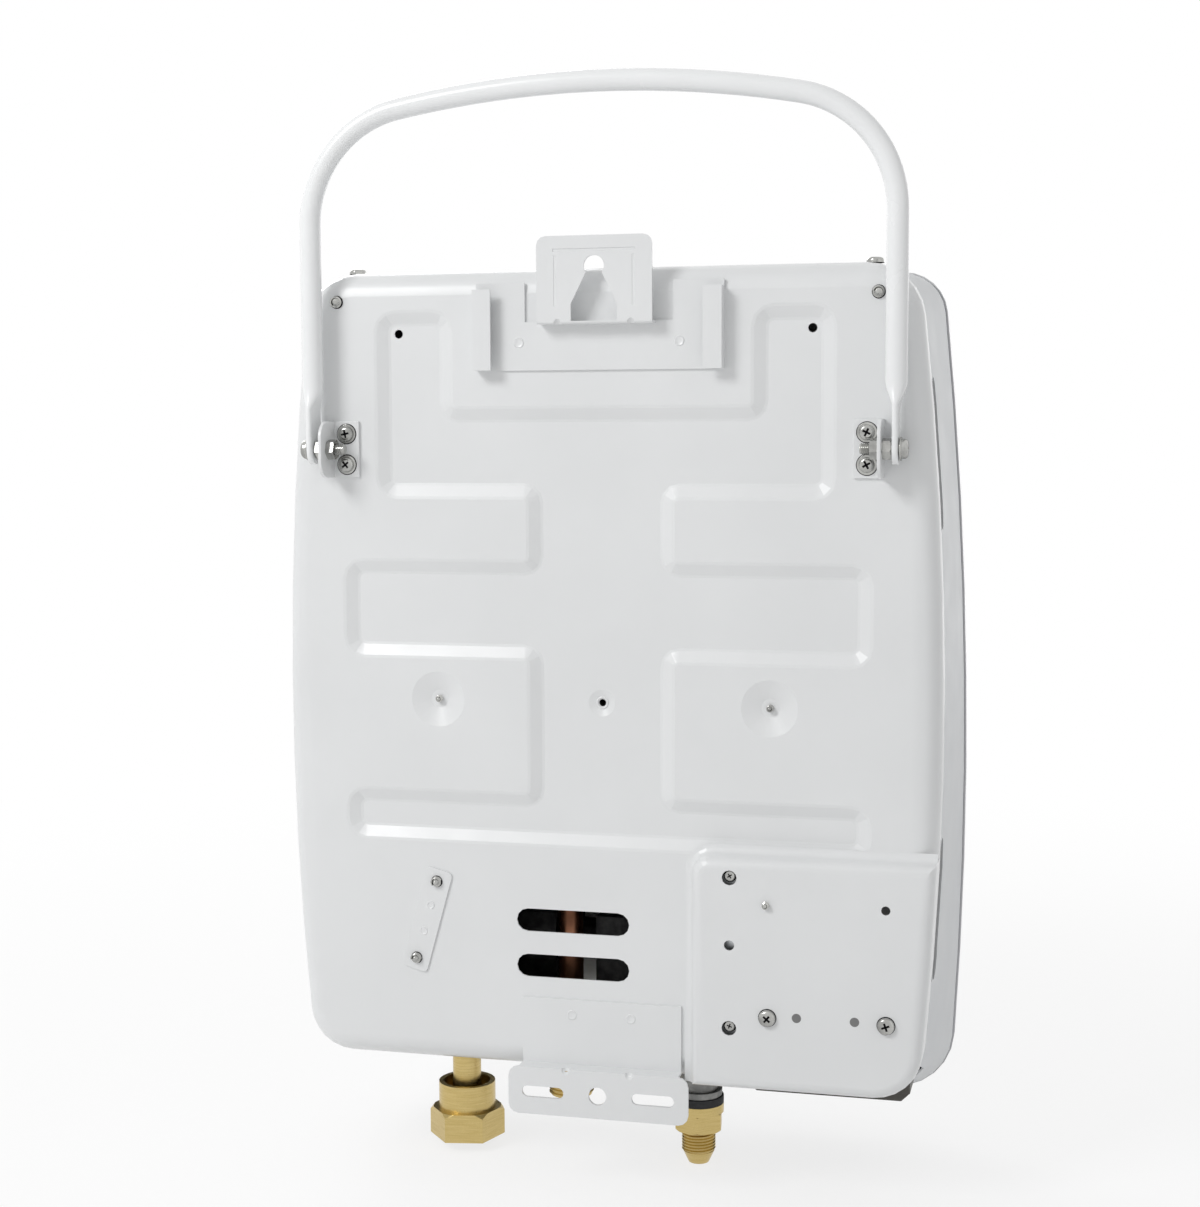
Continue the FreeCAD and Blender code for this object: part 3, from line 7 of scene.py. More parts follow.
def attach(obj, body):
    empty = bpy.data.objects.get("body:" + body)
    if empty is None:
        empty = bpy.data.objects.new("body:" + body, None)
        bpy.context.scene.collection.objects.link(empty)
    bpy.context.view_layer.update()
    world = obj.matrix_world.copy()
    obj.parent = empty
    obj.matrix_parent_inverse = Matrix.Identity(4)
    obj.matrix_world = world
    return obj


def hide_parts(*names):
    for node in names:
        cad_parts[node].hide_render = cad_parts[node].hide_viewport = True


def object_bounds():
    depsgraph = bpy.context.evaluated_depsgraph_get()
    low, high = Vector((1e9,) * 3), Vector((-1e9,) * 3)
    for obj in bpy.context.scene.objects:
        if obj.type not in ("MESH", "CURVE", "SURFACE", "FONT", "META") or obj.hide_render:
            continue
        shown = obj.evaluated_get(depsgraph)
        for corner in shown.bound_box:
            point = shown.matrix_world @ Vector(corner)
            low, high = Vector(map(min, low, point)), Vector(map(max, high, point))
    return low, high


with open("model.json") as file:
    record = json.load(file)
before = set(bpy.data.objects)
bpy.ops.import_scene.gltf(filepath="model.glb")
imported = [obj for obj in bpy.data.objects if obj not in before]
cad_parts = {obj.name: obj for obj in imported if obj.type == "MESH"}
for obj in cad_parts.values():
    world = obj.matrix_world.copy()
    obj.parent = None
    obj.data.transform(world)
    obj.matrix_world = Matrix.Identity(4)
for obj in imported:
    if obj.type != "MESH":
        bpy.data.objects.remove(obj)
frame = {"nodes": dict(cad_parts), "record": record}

cadBox = [list(corner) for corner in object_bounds()]
nodes = frame["nodes"]
bodyOf = {name: body for body, names in frame["record"]["behaviour"]["bodies"].items() for name in names}
slotOf = {part["node"]: part["material_slot"] for part in frame["record"]["subparts"]}
scene = bpy.context.scene
scene.view_settings.view_transform = "Standard"
panelShift = Vector((0.0, -0.009, -0.190))  # the panel's centre hole; the keyhole is the frame's zero
perMetre = 1000  # the tables below are in millimetres
back = (0, 1, 0)  # towards the wall that the heater hangs on


def place(x, y, z):
    # from millimetres off the panel's centre hole to the frame
    return Vector((x / perMetre, y / perMetre, z / perMetre)) + panelShift


# camera, floor and lamps
cameraSetup = dict(spot=(-0.2103, 0.8374, -0.0681), turn=(84.918, 0.243, -166.067), lens=59.652,
                   sensor=36.0, near=0.01, far=50)
lampSetup = [
    # name, spot, size, watts
    ("keyLamp", (0.85, 1.15, 0.85), 0.55, 12.2),
    ("sideLamp", (-1.35, 0.55, 0.10), 0.9, 0.5),
    ("frontLamp", (0.95, -1.40, 0.80), 1.0, 10.5),
    ("frontFill", (-0.45, -1.60, -0.10), 1.2, 2.6),
]
stageSetup = dict(floorDrop=0.0006, floorSize=16.0, floorColour=(0.90, 0.90, 0.90, 1), floorRough=0.9,
                  skyLight=0.50, floorLift=(0.78, 1.0), liftReach=(0.25, 1.1), lampAim=(0, -0.05, -0.18))


def makeCamera():
    bpy.ops.object.camera_add(location=cameraSetup["spot"],
                              rotation=[math.radians(a) for a in cameraSetup["turn"]])
    camera = bpy.context.active_object
    camera.name = "camera"
    camera.data.lens = cameraSetup["lens"]
    camera.data.sensor_width = cameraSetup["sensor"]
    camera.data.clip_start, camera.data.clip_end = cameraSetup["near"], cameraSetup["far"]
    scene.camera = camera


def seenDirectly(tree):
    # 1 for camera, glossy and transmission rays
    path = tree.nodes.new("ShaderNodeLightPath")
    last = path.outputs["Is Camera Ray"]
    for other in ("Is Glossy Ray", "Is Transmission Ray"):
        both = tree.nodes.new("ShaderNodeMath")
        both.operation = "MAXIMUM"
        tree.links.new(last, both.inputs[0])
        tree.links.new(path.outputs[other], both.inputs[1])
        last = both.outputs[0]
    return last


def makeStage():
    world = bpy.data.worlds.new("studio")
    scene.world = world
    world.use_nodes = True
    tree = world.node_tree
    sky = tree.nodes["Background"]
    sky.inputs["Color"].default_value = (1, 1, 1, 1)
    level = tree.nodes.new("ShaderNodeMapRange")
    level.inputs["To Min"].default_value = stageSetup["skyLight"]
    level.inputs["To Max"].default_value = 1.0
    tree.links.new(seenDirectly(tree), level.inputs["Value"])
    tree.links.new(level.outputs["Result"], sky.inputs["Strength"])

    bpy.ops.mesh.primitive_plane_add(size=stageSetup["floorSize"],
                                     location=(0, 0, cadBox[0][2] - stageSetup["floorDrop"]))
    floor = bpy.context.active_object
    floor.name = "floor"
    cloth = bpy.data.materials.new("paperFloor")
    cloth.use_nodes = True
    tree = cloth.node_tree
    paper = tree.nodes["Principled BSDF"]
    paper.inputs["Base Color"].default_value = stageSetup["floorColour"]
    paper.inputs["Roughness"].default_value = stageSetup["floorRough"]
    glow = tree.nodes.new("ShaderNodeEmission")
    spot = tree.nodes.new("ShaderNodeTexCoord")
    away = tree.nodes.new("ShaderNodeVectorMath")
    away.operation = "LENGTH"
    fade = tree.nodes.new("ShaderNodeMapRange")  # white far away, and the shadow near the object
    fade.interpolation_type = "SMOOTHSTEP"
    for span, key in (("From", "liftReach"), ("To", "floorLift")):
        for end, value in zip((" Min", " Max"), stageSetup[key]):
            fade.inputs[span + end].default_value = value
    lift = tree.nodes.new("ShaderNodeMath")
    lift.operation = "MULTIPLY"
    mix = tree.nodes.new("ShaderNodeMixShader")
    tree.links.new(spot.outputs["Object"], away.inputs[0])
    tree.links.new(away.outputs["Value"], fade.inputs["Value"])
    tree.links.new(seenDirectly(tree), lift.inputs[0])
    tree.links.new(fade.outputs["Result"], lift.inputs[1])
    tree.links.new(lift.outputs[0], mix.inputs[0])
    tree.links.new(paper.outputs[0], mix.inputs[1])
    tree.links.new(glow.outputs[0], mix.inputs[2])
    tree.links.new(mix.outputs[0], tree.nodes["Material Output"].inputs["Surface"])
    floor.data.materials.append(cloth)

    for name, spot, size, watts in lampSetup:
        bpy.ops.object.light_add(type="AREA", location=spot)
        lamp = bpy.context.active_object
        lamp.name = name
        lamp.data.size = size
        lamp.data.energy = watts
        aim = Vector(stageSetup["lampAim"]) - Vector(spot)
        lamp.rotation_euler = aim.to_track_quat("-Z", "Y").to_euler()


makeCamera()
makeStage()
print("stage ready")


# finishes
grainScale = dict(enamelCloud=14, enamelGloss=60, enamelPeel=300, plasticCloud=30, plasticGloss=80,
                  flakes=160, zincGloss=120, zincPits=500, glassCloud=25, glassGloss=90, glow=200)
enamelLook = dict(coat=0.3, coatRough=0.22, peelDepth=0.00001, peelStrength=0.25)
noiseSpan = (0.3, 0.7)  # where the noise mostly lies


def newFinish(name, metal=0.0, coat=0.0, coatRough=0.08, shine=0.5):
    finish = bpy.data.materials.new(name)
    finish.use_nodes = True
    shader = finish.node_tree.nodes["Principled BSDF"]
    shader.inputs["Metallic"].default_value = metal
    shader.inputs["IOR"].default_value = 1.5
    shader.inputs["Specular IOR Level"].default_value = shine
    shader.inputs["Coat Weight"].default_value = coat
    shader.inputs["Coat Roughness"].default_value = coatRough
    return finish


def grain(finish, scale, stretch=(1, 1, 1), detail=5.0, kind="ShaderNodeTexNoise"):
    tree = finish.node_tree
    where = tree.nodes.new("ShaderNodeTexCoord")
    shape = tree.nodes.new("ShaderNodeMapping")
    shape.inputs["Scale"].default_value = stretch
    texture = tree.nodes.new(kind)
    texture.inputs["Scale"].default_value = scale
    if kind == "ShaderNodeTexNoise":
        texture.inputs["Detail"].default_value = detail
    tree.links.new(where.outputs["Object"], shape.inputs["Vector"])
    tree.links.new(shape.outputs["Vector"], texture.inputs["Vector"])
    return texture.outputs["Fac"] if kind == "ShaderNodeTexNoise" else texture.outputs["Distance"]


def tint(finish, fac, dark, light, low=0.35, high=0.65):
    tree = finish.node_tree
    ramp = tree.nodes.new("ShaderNodeValToRGB")
    ramp.color_ramp.elements[0].position = low
    ramp.color_ramp.elements[1].position = high
    ramp.color_ramp.elements[0].color = (*dark, 1)
    ramp.color_ramp.elements[1].color = (*light, 1)
    tree.links.new(fac, ramp.inputs["Fac"])
    tree.links.new(ramp.outputs["Color"], tree.nodes["Principled BSDF"].inputs["Base Color"])


def rough(finish, fac, low, high):
    tree = finish.node_tree
    level = tree.nodes.new("ShaderNodeMapRange")
    level.inputs["From Min"].default_value, level.inputs["From Max"].default_value = noiseSpan
    level.inputs["To Min"].default_value = low
    level.inputs["To Max"].default_value = high
    tree.links.new(fac, level.inputs["Value"])
    tree.links.new(level.outputs["Result"], tree.nodes["Principled BSDF"].inputs["Roughness"])


def dent(finish, fac, depth, strength=1.0):
    tree = finish.node_tree
    bump = tree.nodes.new("ShaderNodeBump")
    bump.inputs["Strength"].default_value = strength
    bump.inputs["Distance"].default_value = depth
    tree.links.new(fac, bump.inputs["Height"])
    tree.links.new(bump.outputs["Normal"], tree.nodes["Principled BSDF"].inputs["Normal"])


def whiteEnamel(name, dark, light, roughLow=0.3, roughHigh=0.4, coat=enamelLook["coat"], shine=0.5):
    finish = newFinish(name, coat=coat, coatRough=enamelLook["coatRough"], shine=shine)
    tint(finish, grain(finish, grainScale["enamelCloud"], detail=3), dark, light)
    rough(finish, grain(finish, grainScale["enamelGloss"]), roughLow, roughHigh)
    peel = grain(finish, grainScale["enamelPeel"], detail=1)  # faint orange peel
    dent(finish, peel, enamelLook["peelDepth"], enamelLook["peelStrength"])
    return finish


def brightMetal(name, dark, light, roughLow, roughHigh, scale=260, stretch=(1, 1, 1), depth=0.00002):
    finish = newFinish(name, metal=1.0)
    tint(finish, grain(finish, scale * 0.3, stretch), dark, light)
    lines = grain(finish, scale, stretch)
    rough(finish, lines, roughLow, roughHigh)
    dent(finish, lines, depth, 0.5)
    return finish


def plasticFinish(name, dark, light, roughLow, roughHigh, scale=900, depth=0.00003, coat=0.0, shine=0.5):
    finish = newFinish(name, coat=coat, shine=shine)
    tint(finish, grain(finish, grainScale["plasticCloud"]), dark, light)
    rough(finish, grain(finish, grainScale["plasticGloss"]), roughLow, roughHigh)
    dent(finish, grain(finish, scale, detail=2), depth, 0.5)
    return finish


def spangledZinc(name):
    finish = newFinish(name, metal=1.0)
    flakes = grain(finish, grainScale["flakes"], kind="ShaderNodeTexVoronoi")
    tint(finish, flakes, (0.46, 0.48, 0.50), (0.64, 0.66, 0.67), 0.1, 0.7)
    rough(finish, grain(finish, grainScale["zincGloss"]), 0.32, 0.48)
    dent(finish, grain(finish, grainScale["zincPits"], detail=2), 0.00002, 0.4)
    return finish


def clearFinish(name, colour, roughness, alpha):
    finish = newFinish(name, coat=0.6)
    tint(finish, grain(finish, grainScale["glassCloud"]), colour, [c * 1.25 for c in colour])
    rough(finish, grain(finish, grainScale["glassGloss"]), roughness, roughness + 0.06)
    finish.node_tree.nodes["Principled BSDF"].inputs["Transmission Weight"].default_value = alpha
    return finish


def glowFinish(name, colour, strength):
    finish = newFinish(name)
    tint(finish, grain(finish, grainScale["glow"]), colour, [min(1, c * 1.15) for c in colour])
    shader = finish.node_tree.nodes["Principled BSDF"]
    shader.inputs["Roughness"].default_value = 0.4
    shader.inputs["Emission Color"].default_value = (*colour, 1)
    shader.inputs["Emission Strength"].default_value = strength
    return finish


ringed = (1, 1, 26)  # turned work: grain lies in rings about a level axis
finishes = {
    "white_enamel": whiteEnamel("whiteEnamel", (0.775, 0.785, 0.79), (0.80, 0.81, 0.815)),
    "white_tube": whiteEnamel("tubeEnamel", (0.87, 0.88, 0.885), (0.90, 0.91, 0.915), 0.2, 0.28),
    # dark navy seam strip: a gasket whose near-black tone also paints the shade of the gap between
    # casing and back panel
    "seam_gasket": plasticFinish("seamGasketAndShade", (0.010, 0.014, 0.040), (0.016, 0.022, 0.055), 0.6, 0.75,
                                 shine=0.1),
    "zinc": brightMetal("zincPlate", (0.30, 0.30, 0.29), (0.50, 0.50, 0.48), 0.16, 0.26, 420),
    "brass": brightMetal("turnedBrass", (0.54, 0.41, 0.16), (0.62, 0.48, 0.21), 0.26, 0.34, 300, ringed,
                         0.00001),
    "grey_casting": brightMetal("greyCasting", (0.20, 0.20, 0.195), (0.30, 0.30, 0.29), 0.42, 0.6, 700,
                                depth=0.00006),
    "black_rubber": plasticFinish("blackRubber", (0.012, 0.012, 0.013), (0.024, 0.024, 0.026), 0.55,
                                  0.75),
    "galvanised": spangledZinc("galvanisedSheet"),
    "stainless": brightMetal("brushedStainless", (0.50, 0.49, 0.47), (0.66, 0.65, 0.63), 0.24, 0.4, 500,
                             (1, 1, 14)),
    "copper": brightMetal("copperTube", (0.26, 0.10, 0.055), (0.46, 0.22, 0.13), 0.26, 0.44, 120),
    "dark_plastic": plasticFinish("warmGreyPlastic", (0.058, 0.054, 0.046), (0.078, 0.073, 0.064), 0.4,
                                  0.55),
    "black_plastic": plasticFinish("blackPlastic", (0.016, 0.016, 0.018), (0.030, 0.030, 0.032), 0.35,
                                   0.5),
    "cell_jacket": plasticFinish("cellJacket", (0.05, 0.055, 0.065), (0.075, 0.08, 0.095), 0.2, 0.3),
    "knob_plastic": plasticFinish("knobPlastic", (0.030, 0.030, 0.032), (0.045, 0.045, 0.048), 0.22,
                                  0.34, coat=0.2),
    "lens": clearFinish("smokedLens", (0.020, 0.022, 0.026), 0.05, 0.0),
    "glass": clearFinish("windowGlass", (0.55, 0.60, 0.62), 0.03, 0.85),
    "circuit": plasticFinish("circuitBoard", (0.020, 0.12, 0.055), (0.035, 0.17, 0.08), 0.35, 0.5),
}
# near-black finish for painted shade: cross recesses, rings round the fasteners and the strips behind
# the side vents
holeShade = plasticFinish("holeShade", (0.006, 0.006, 0.008), (0.012, 0.012, 0.015), 0.8, 0.95,
                          shine=0.03)
rivetGrey = plasticFinish("rivetGrey", (0.17, 0.17, 0.17), (0.23, 0.23, 0.23), 0.5, 0.65, shine=0.3)
# painted shade: a darker, duller copy of the white enamel for the casing, whose side stands in shade
shadedCoverEnamel = whiteEnamel("shadedCoverEnamel", (0.685, 0.70, 0.715), (0.715, 0.73, 0.74), 0.42, 0.52,
                          coat=0.0, shine=0.25)
pointerWhite = plasticFinish("pointerWhite", (0.72, 0.72, 0.72), (0.78, 0.78, 0.78), 0.35, 0.45)
dialInk = plasticFinish("dialInk", (0.30, 0.31, 0.32), (0.36, 0.37, 0.38), 0.35, 0.45)
digitGlow = glowFinish("digitGlow", (0.95, 0.42, 0.10), 1.2)
# painted shade: castings inside the casing get a near-black copy of the grey casting, for the shade they
# sit in
paintedShadeCasting = brightMetal("paintedShadeCasting", (0.045, 0.045, 0.047), (0.085, 0.085, 0.085), 0.5, 0.7, 700)
for name, node in nodes.items():
    inner = slotOf[name] == "grey_casting" and name != "gas_inlet_body"
    for k in range(len(node.material_slots)):
        node.material_slots[k].material = paintedShadeCasting if inner else finishes[slotOf[name]]
print("finishes ready")


# handling of pieces
def pickNothing():
    if bpy.context.mode != "OBJECT":
        bpy.ops.object.mode_set(mode="OBJECT")
    bpy.ops.object.select_all(action="DESELECT")


def pick(*pieces):
    pickNothing()
    for piece in pieces:
        piece.select_set(True)
    bpy.context.view_layer.objects.active = pieces[0]


def editFaces(piece, wanted):
    pick(piece)
    bpy.context.tool_settings.mesh_select_mode = (False, False, True)
    bpy.ops.object.mode_set(mode="EDIT")
    bpy.ops.mesh.select_all(action="DESELECT")
    bpy.ops.object.mode_set(mode="OBJECT")
    for face in piece.data.polygons:
        face.select = wanted(face)
    bpy.ops.object.mode_set(mode="EDIT")


def editPoints(piece, wanted):
    pick(piece)
    bpy.context.tool_settings.mesh_select_mode = (True, False, False)
    bpy.ops.object.mode_set(mode="EDIT")
    bpy.ops.mesh.select_all(action="DESELECT")
    bpy.ops.object.mode_set(mode="OBJECT")
    for point in piece.data.vertices:
        point.select = wanted(point.co)
    bpy.ops.object.mode_set(mode="EDIT")


def markRims(piece, wanted, fold=8):
    # folds between two wanted points stay crisp
    pick(piece)
    bpy.context.tool_settings.mesh_select_mode = (False, True, False)
    bpy.ops.object.mode_set(mode="EDIT")
    bpy.ops.mesh.select_all(action="DESELECT")
    bpy.ops.mesh.edges_select_sharp(sharpness=math.radians(fold))
    bpy.ops.object.mode_set(mode="OBJECT")
    for edge in piece.data.edges:
        first, last = ((piece.data.vertices[k].co - panelShift) * perMetre for k in edge.vertices)
        edge.select = edge.select and wanted(first, last)
    bpy.ops.object.mode_set(mode="EDIT")
    bpy.ops.mesh.mark_sharp()
    bpy.ops.object.mode_set(mode="OBJECT")


def applyAll(piece):
    pick(piece)
    bpy.ops.object.transform_apply(location=True, rotation=True, scale=True)


def applyModifier(piece, modifier):
    pick(piece)
    bpy.ops.object.modifier_apply(modifier=modifier.name)


def joinPieces(name, pieces):
    pick(*pieces)
    if len(pieces) > 1:
        bpy.ops.object.join()
    pieces[0].name = name
    pieces[0].data.name = name
    return pieces[0]


def roundEdges(piece, width, segments=2, angle=35):
    bevel = piece.modifiers.new("softEdge", "BEVEL")
    bevel.width = width
    bevel.segments = segments
    bevel.limit_method = "ANGLE"
    bevel.angle_limit = math.radians(angle)
    applyModifier(piece, bevel)


def smooth(piece, angle=32):
    pick(piece)
    bpy.ops.object.shade_smooth_by_angle(angle=math.radians(angle))


def settle(piece, angle=32):
    # smooth shading that leaves broad flat faces flat
    smooth(piece, angle)
    weigh = piece.modifiers.new("evenShade", "WEIGHTED_NORMAL")
    weigh.mode = "FACE_AREA"
    weigh.keep_sharp = True
    applyModifier(piece, weigh)


def fit(piece, body, slot, finish=None):
    piece.data.materials.clear()
    piece.data.materials.append(finish or finishes[slot])
    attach(piece, body)
    return piece


mergeLook = dict(join=0.000002, flat=0.6, edgeSteps=2)


def shownCopy(node, angle=32, edge=0.0, change=None):
    # merged copy of a frame node, smooth shaded, with softened corners where edge is given
    piece = bpy.data.objects.new(node + "_shown", nodes[node].data.copy())
    scene.collection.objects.link(piece)
    pick(piece)
    bpy.ops.mesh.customdata_custom_splitnormals_clear()
    bpy.ops.object.mode_set(mode="EDIT")
    bpy.ops.mesh.select_all(action="SELECT")
    bpy.ops.mesh.remove_doubles(threshold=mergeLook["join"])
    bpy.ops.mesh.dissolve_limited(angle_limit=math.radians(mergeLook["flat"]))
    bpy.ops.object.mode_set(mode="OBJECT")
    if change:
        change(piece)
    if edge:
        roundEdges(piece, edge, mergeLook["edgeSteps"])
    settle(piece, angle)
    fit(piece, bodyOf[node], slotOf[node])
    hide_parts(node)
    return piece


def addBar(name, radius, start, end, sides=32, endRadius=None):
    # turned piece between two points, in millimetres
    first, last = place(*start), place(*end)
    along = last - first
    pickNothing()
    farRadius = radius if endRadius is None else endRadius
    bpy.ops.mesh.primitive_cone_add(vertices=sides, radius1=radius / perMetre,
                                    radius2=farRadius / perMetre,
                                    depth=along.length, location=(first + last) / 2,
                                    rotation=along.to_track_quat("Z", "Y").to_euler())
    bar = bpy.context.active_object
    bar.name = name
    applyAll(bar)
    return bar


def addBlock(name, low, high):
    # block between two corners, in millimetres
    first, last = place(*low), place(*high)
    pickNothing()
    bpy.ops.mesh.primitive_cube_add(size=1, location=(first + last) / 2, scale=last - first)
    block = bpy.context.active_object
    block.name = name
    applyAll(block)
    return block


def placedCopy(piece, name, spot, towards=back, spin=0.0):
    # own copy of a piece modelled at the frame's zero with its axis up, set at a spot
    twin = bpy.data.objects.new(name, piece.data.copy())
    scene.collection.objects.link(twin)
    aim = Vector(towards).to_track_quat("Z", "Y").to_matrix().to_4x4()
    turned = aim @ Matrix.Rotation(math.radians(spin), 4, "Z")
    twin.matrix_world = Matrix.Translation(place(*spot)) @ turned
    bpy.context.view_layer.update()
    applyAll(twin)
    return twin


def atZero(piece):
    # moves a piece modelled in place() coordinates to the frame's zero
    pick(piece)
    piece.location = -panelShift
    applyAll(piece)
    return piece


def cutAway(piece, cutter):
    bite = piece.modifiers.new("bite", "BOOLEAN")
    bite.operation = "DIFFERENCE"
    bite.object = cutter
    bite.solver = "EXACT"
    bite.use_self = True
    applyModifier(piece, bite)
    bpy.data.objects.remove(cutter, do_unlink=True)


def mend(piece, distance=mergeLook["join"]):
    # merged points and faces that look outwards
    pick(piece)
    bpy.ops.object.mode_set(mode="EDIT")
    bpy.ops.mesh.select_all(action="SELECT")
    bpy.ops.mesh.remove_doubles(threshold=distance)
    bpy.ops.mesh.normals_make_consistent(inside=False)
    bpy.ops.object.mode_set(mode="OBJECT")


def faces(normal, share=0.9):
    # picks faces that look along a direction
    aim = Vector(normal)
    return lambda face: face.normal.dot(aim) > share


# sheet metal, tube and fittings taken from the frame
copyPlan = {
    # node: (smooth angle, softened edge in metres)
    "front_fascia": (40, 0),
    "base_plate": (30, 0),
    "strap_plate": (32, 0.00025),
    "handle_bracket_right": (32, 0.0003),
    "handle_bracket_left": (32, 0.0003),
    "water_inlet_tube": (40, 0),
    "hose_washer": (40, 0),
    "gas_inlet_body": (40, 0.0002),
    "gas_seal_ring": (40, 0.0004),
    "battery_box": (32, 0.0004),
    "battery_door": (32, 0.0004),
    "door_hinge_pin": (40, 0),
    "battery_cell_right": (40, 0),
    "battery_cell_left": (40, 0),
    "gas_knob": (35, 0.0005),
    "season_knob": (35, 0.0005),
    "water_knob": (35, 0.0005),
    "power_rocker": (35, 0.0004),
    "switch_housing": (35, 0.0003),
    "display_lens": (35, 0.0004),
    "window_glass": (35, 0.0004),
    "hot_pipe": (50, 0),
    "cold_pipe": (50, 0),
    "combustion_chamber": (30, 0),
    "heat_exchanger": (30, 0),
}
for name, (angle, edge) in copyPlan.items():
    shownCopy(name, angle, edge)


recessZone = dict(half=126, low=-100, high=180, floor=-4.3, top=0.05, level=0.01)
seamSwell = 0.0007


def crispRecess(piece):
    # the stamped recess and dimples keep clear rims, the rolled edge stays soft
    zone = recessZone

    def onRim(first, last):
        level = abs(first.y - last.y) < zone["level"] and zone["floor"] < first.y < zone["top"]
        return level and all(abs(end.x) < zone["half"] and zone["low"] < end.z < zone["high"]
                             for end in (first, last))

    markRims(piece, onRim)


def flushSeam(piece):
    # the strip swells out level with the casing
    box = [Vector(corner) for corner in piece.bound_box]
    middle = (box[0] + box[6]) / 2
    size = box[6] - box[0]
    growth = ((size.x + seamSwell) / size.x, 1, (size.z + seamSwell) / size.z)
    pick(piece)
    bpy.ops.object.mode_set(mode="EDIT")
    bpy.ops.mesh.select_all(action="SELECT")
    bpy.ops.transform.resize(value=growth, center_override=middle)
    bpy.ops.object.mode_set(mode="OBJECT")


shownCopy("back_panel", 40, change=crispRecess)
shownCopy("seam_strip", 30, change=flushSeam)
coverShown = shownCopy("front_cover", 30)
coverShown.data.materials[0] = shadedCoverEnamel  # painted shade: the casing gets the darker copy of the white enamel, as its side stands in shade
print("casing and fittings shown as merged copies")

# pressed marks in the wall brackets
foldLook = dict(wall=9.0, beyond=1, hookFold=165.1, hookDents=(-16.2, 16.2), lowFold=-163.0,
                lowDents=(-14.5, 14.5), dentRadius=1.9, dentReach=3.4, dentSides=24, beadHalf=18.6,
                beadTop=198.2, beadWidth=2.6, beadFoot=172.0, topDepth=0.4, topTaper=(0.97, 1, 0.3),
                sideDepth=0.22, sideTaper=(0.3, 1, 0.9), edge=0.0002)


def pressGroove(piece, low, high, taper):
    # narrow groove with leaning walls, cut into the face that meets the wall
    cutter = addBlock("press", low, high)
    middle = sum((Vector(corner) for corner in cutter.bound_box), Vector()) / 8
    editFaces(cutter, faces((0, -1, 0)))
    bpy.ops.transform.resize(value=taper, center_override=middle)
    bpy.ops.object.mode_set(mode="OBJECT")
    cutAway(piece, cutter)


def pressDents(piece, spots, level, way):
    look = foldLook
    wall, reach = look["wall"], look["dentReach"]
    for x in spots:
        cutAway(piece, addBar("dent", look["dentRadius"], (x, wall - reach, level - way * reach),
                              (x, wall + reach, level + way * reach), look["dentSides"]))


def pressHook(piece):
    look = foldLook
    half, top, width = look["beadHalf"], look["beadTop"], look["beadWidth"]
    wall, outside = look["wall"], look["wall"] + look["beyond"]
    for side in (-1, 1):
        low, high = sorted((side * half, side * (half - width)))
        pressGroove(piece, (low, wall - look["sideDepth"], look["beadFoot"]),
                    (high, outside, top - width), look["sideTaper"])
    pressGroove(piece, (-half, wall - look["topDepth"], top - width), (half, outside, top),
                look["topTaper"])
    pressDents(piece, look["hookDents"], look["hookFold"], 1)


def pressFlange(piece):
    pressDents(piece, foldLook["lowDents"], foldLook["lowFold"], -1)


shownCopy("top_wall_bracket", 32, foldLook["edge"], pressHook)
shownCopy("bottom_wall_bracket", 32, foldLook["edge"], pressFlange)
print("brackets pressed")

# threads
threadLook = dict(
    # neck: the plain part from low to high, its radius in the frame and its radius under the ridge
    flare=dict(spot=(-34.8, -47.0), pitch=1.41, root=7.05, crest=7.9, top=-206.6, bottom=-214.6,
               neck=(-216, -204.9, 7.9375, 7.1)),
    hose=dict(spot=(78.4, -47.0), pitch=2.2, root=13.35, crest=12.8, top=-208.9, bottom=-216.0),
    outlet=dict(spot=(22.0, -30.0), pitch=1.81, root=9.4, crest=10.4, top=-172.0, bottom=-186.0,
                neck=(-187.2, -171.3, 10.48, 9.5)),
)
threadForm = dict(foot=0.46, crest=0.08, steps=36, smooth=50, near=0.12)


def threadRidge(name, look, steps=threadForm["steps"]):
    # one turned ridge, wound with the Screw modifier and closed at both ends
    turns = (look["top"] - look["bottom"]) / look["pitch"]
    half = look["pitch"] * threadForm["foot"]
    flat = look["pitch"] * threadForm["crest"]
    pickNothing()
    bpy.ops.mesh.primitive_plane_add(size=1, location=(0, 0, 0))
    ridge = bpy.context.active_object
    root, crest = look["root"], look["crest"]
    corners = [(root, -half), (root, half), (crest, flat), (crest, -flat)]
    points = ridge.data.vertices
    order = sorted(range(4), key=lambda k: (points[k].co.x, points[k].co.y))
    for k, (reach, lift) in zip([order[0], order[1], order[3], order[2]], corners):
        points[k].co = (reach / perMetre, 0, lift / perMetre)
    editFaces(ridge, lambda face: True)
    bpy.ops.mesh.delete(type="ONLY_FACE")
    bpy.ops.object.mode_set(mode="OBJECT")
    wind = ridge.modifiers.new("wind", "SCREW")
    wind.axis = "Z"
    wind.angle = math.radians(360 * turns)
    wind.screw_offset = turns * look["pitch"] / perMetre
    wind.iterations = 1
    wind.steps = wind.render_steps = int(steps * turns)
    wind.use_merge_vertices = False
    applyModifier(ridge, wind)
    pick(ridge)
    bpy.context.tool_settings.mesh_select_mode = (False, True, False)
    bpy.ops.object.mode_set(mode="EDIT")
    bpy.ops.mesh.select_all(action="DESELECT")
    bpy.ops.mesh.select_non_manifold(extend=False)
    bpy.ops.mesh.edge_face_add()
    bpy.ops.mesh.select_all(action="SELECT")
    bpy.ops.mesh.fill_holes(sides=4)
    bpy.ops.mesh.normals_make_consistent(inside=False)
    bpy.ops.object.mode_set(mode="OBJECT")
    ridge.location = place(*look["spot"], look["bottom"])
    applyAll(ridge)
    ridge.name = name
    smooth(ridge, threadForm["smooth"])
    return ridge


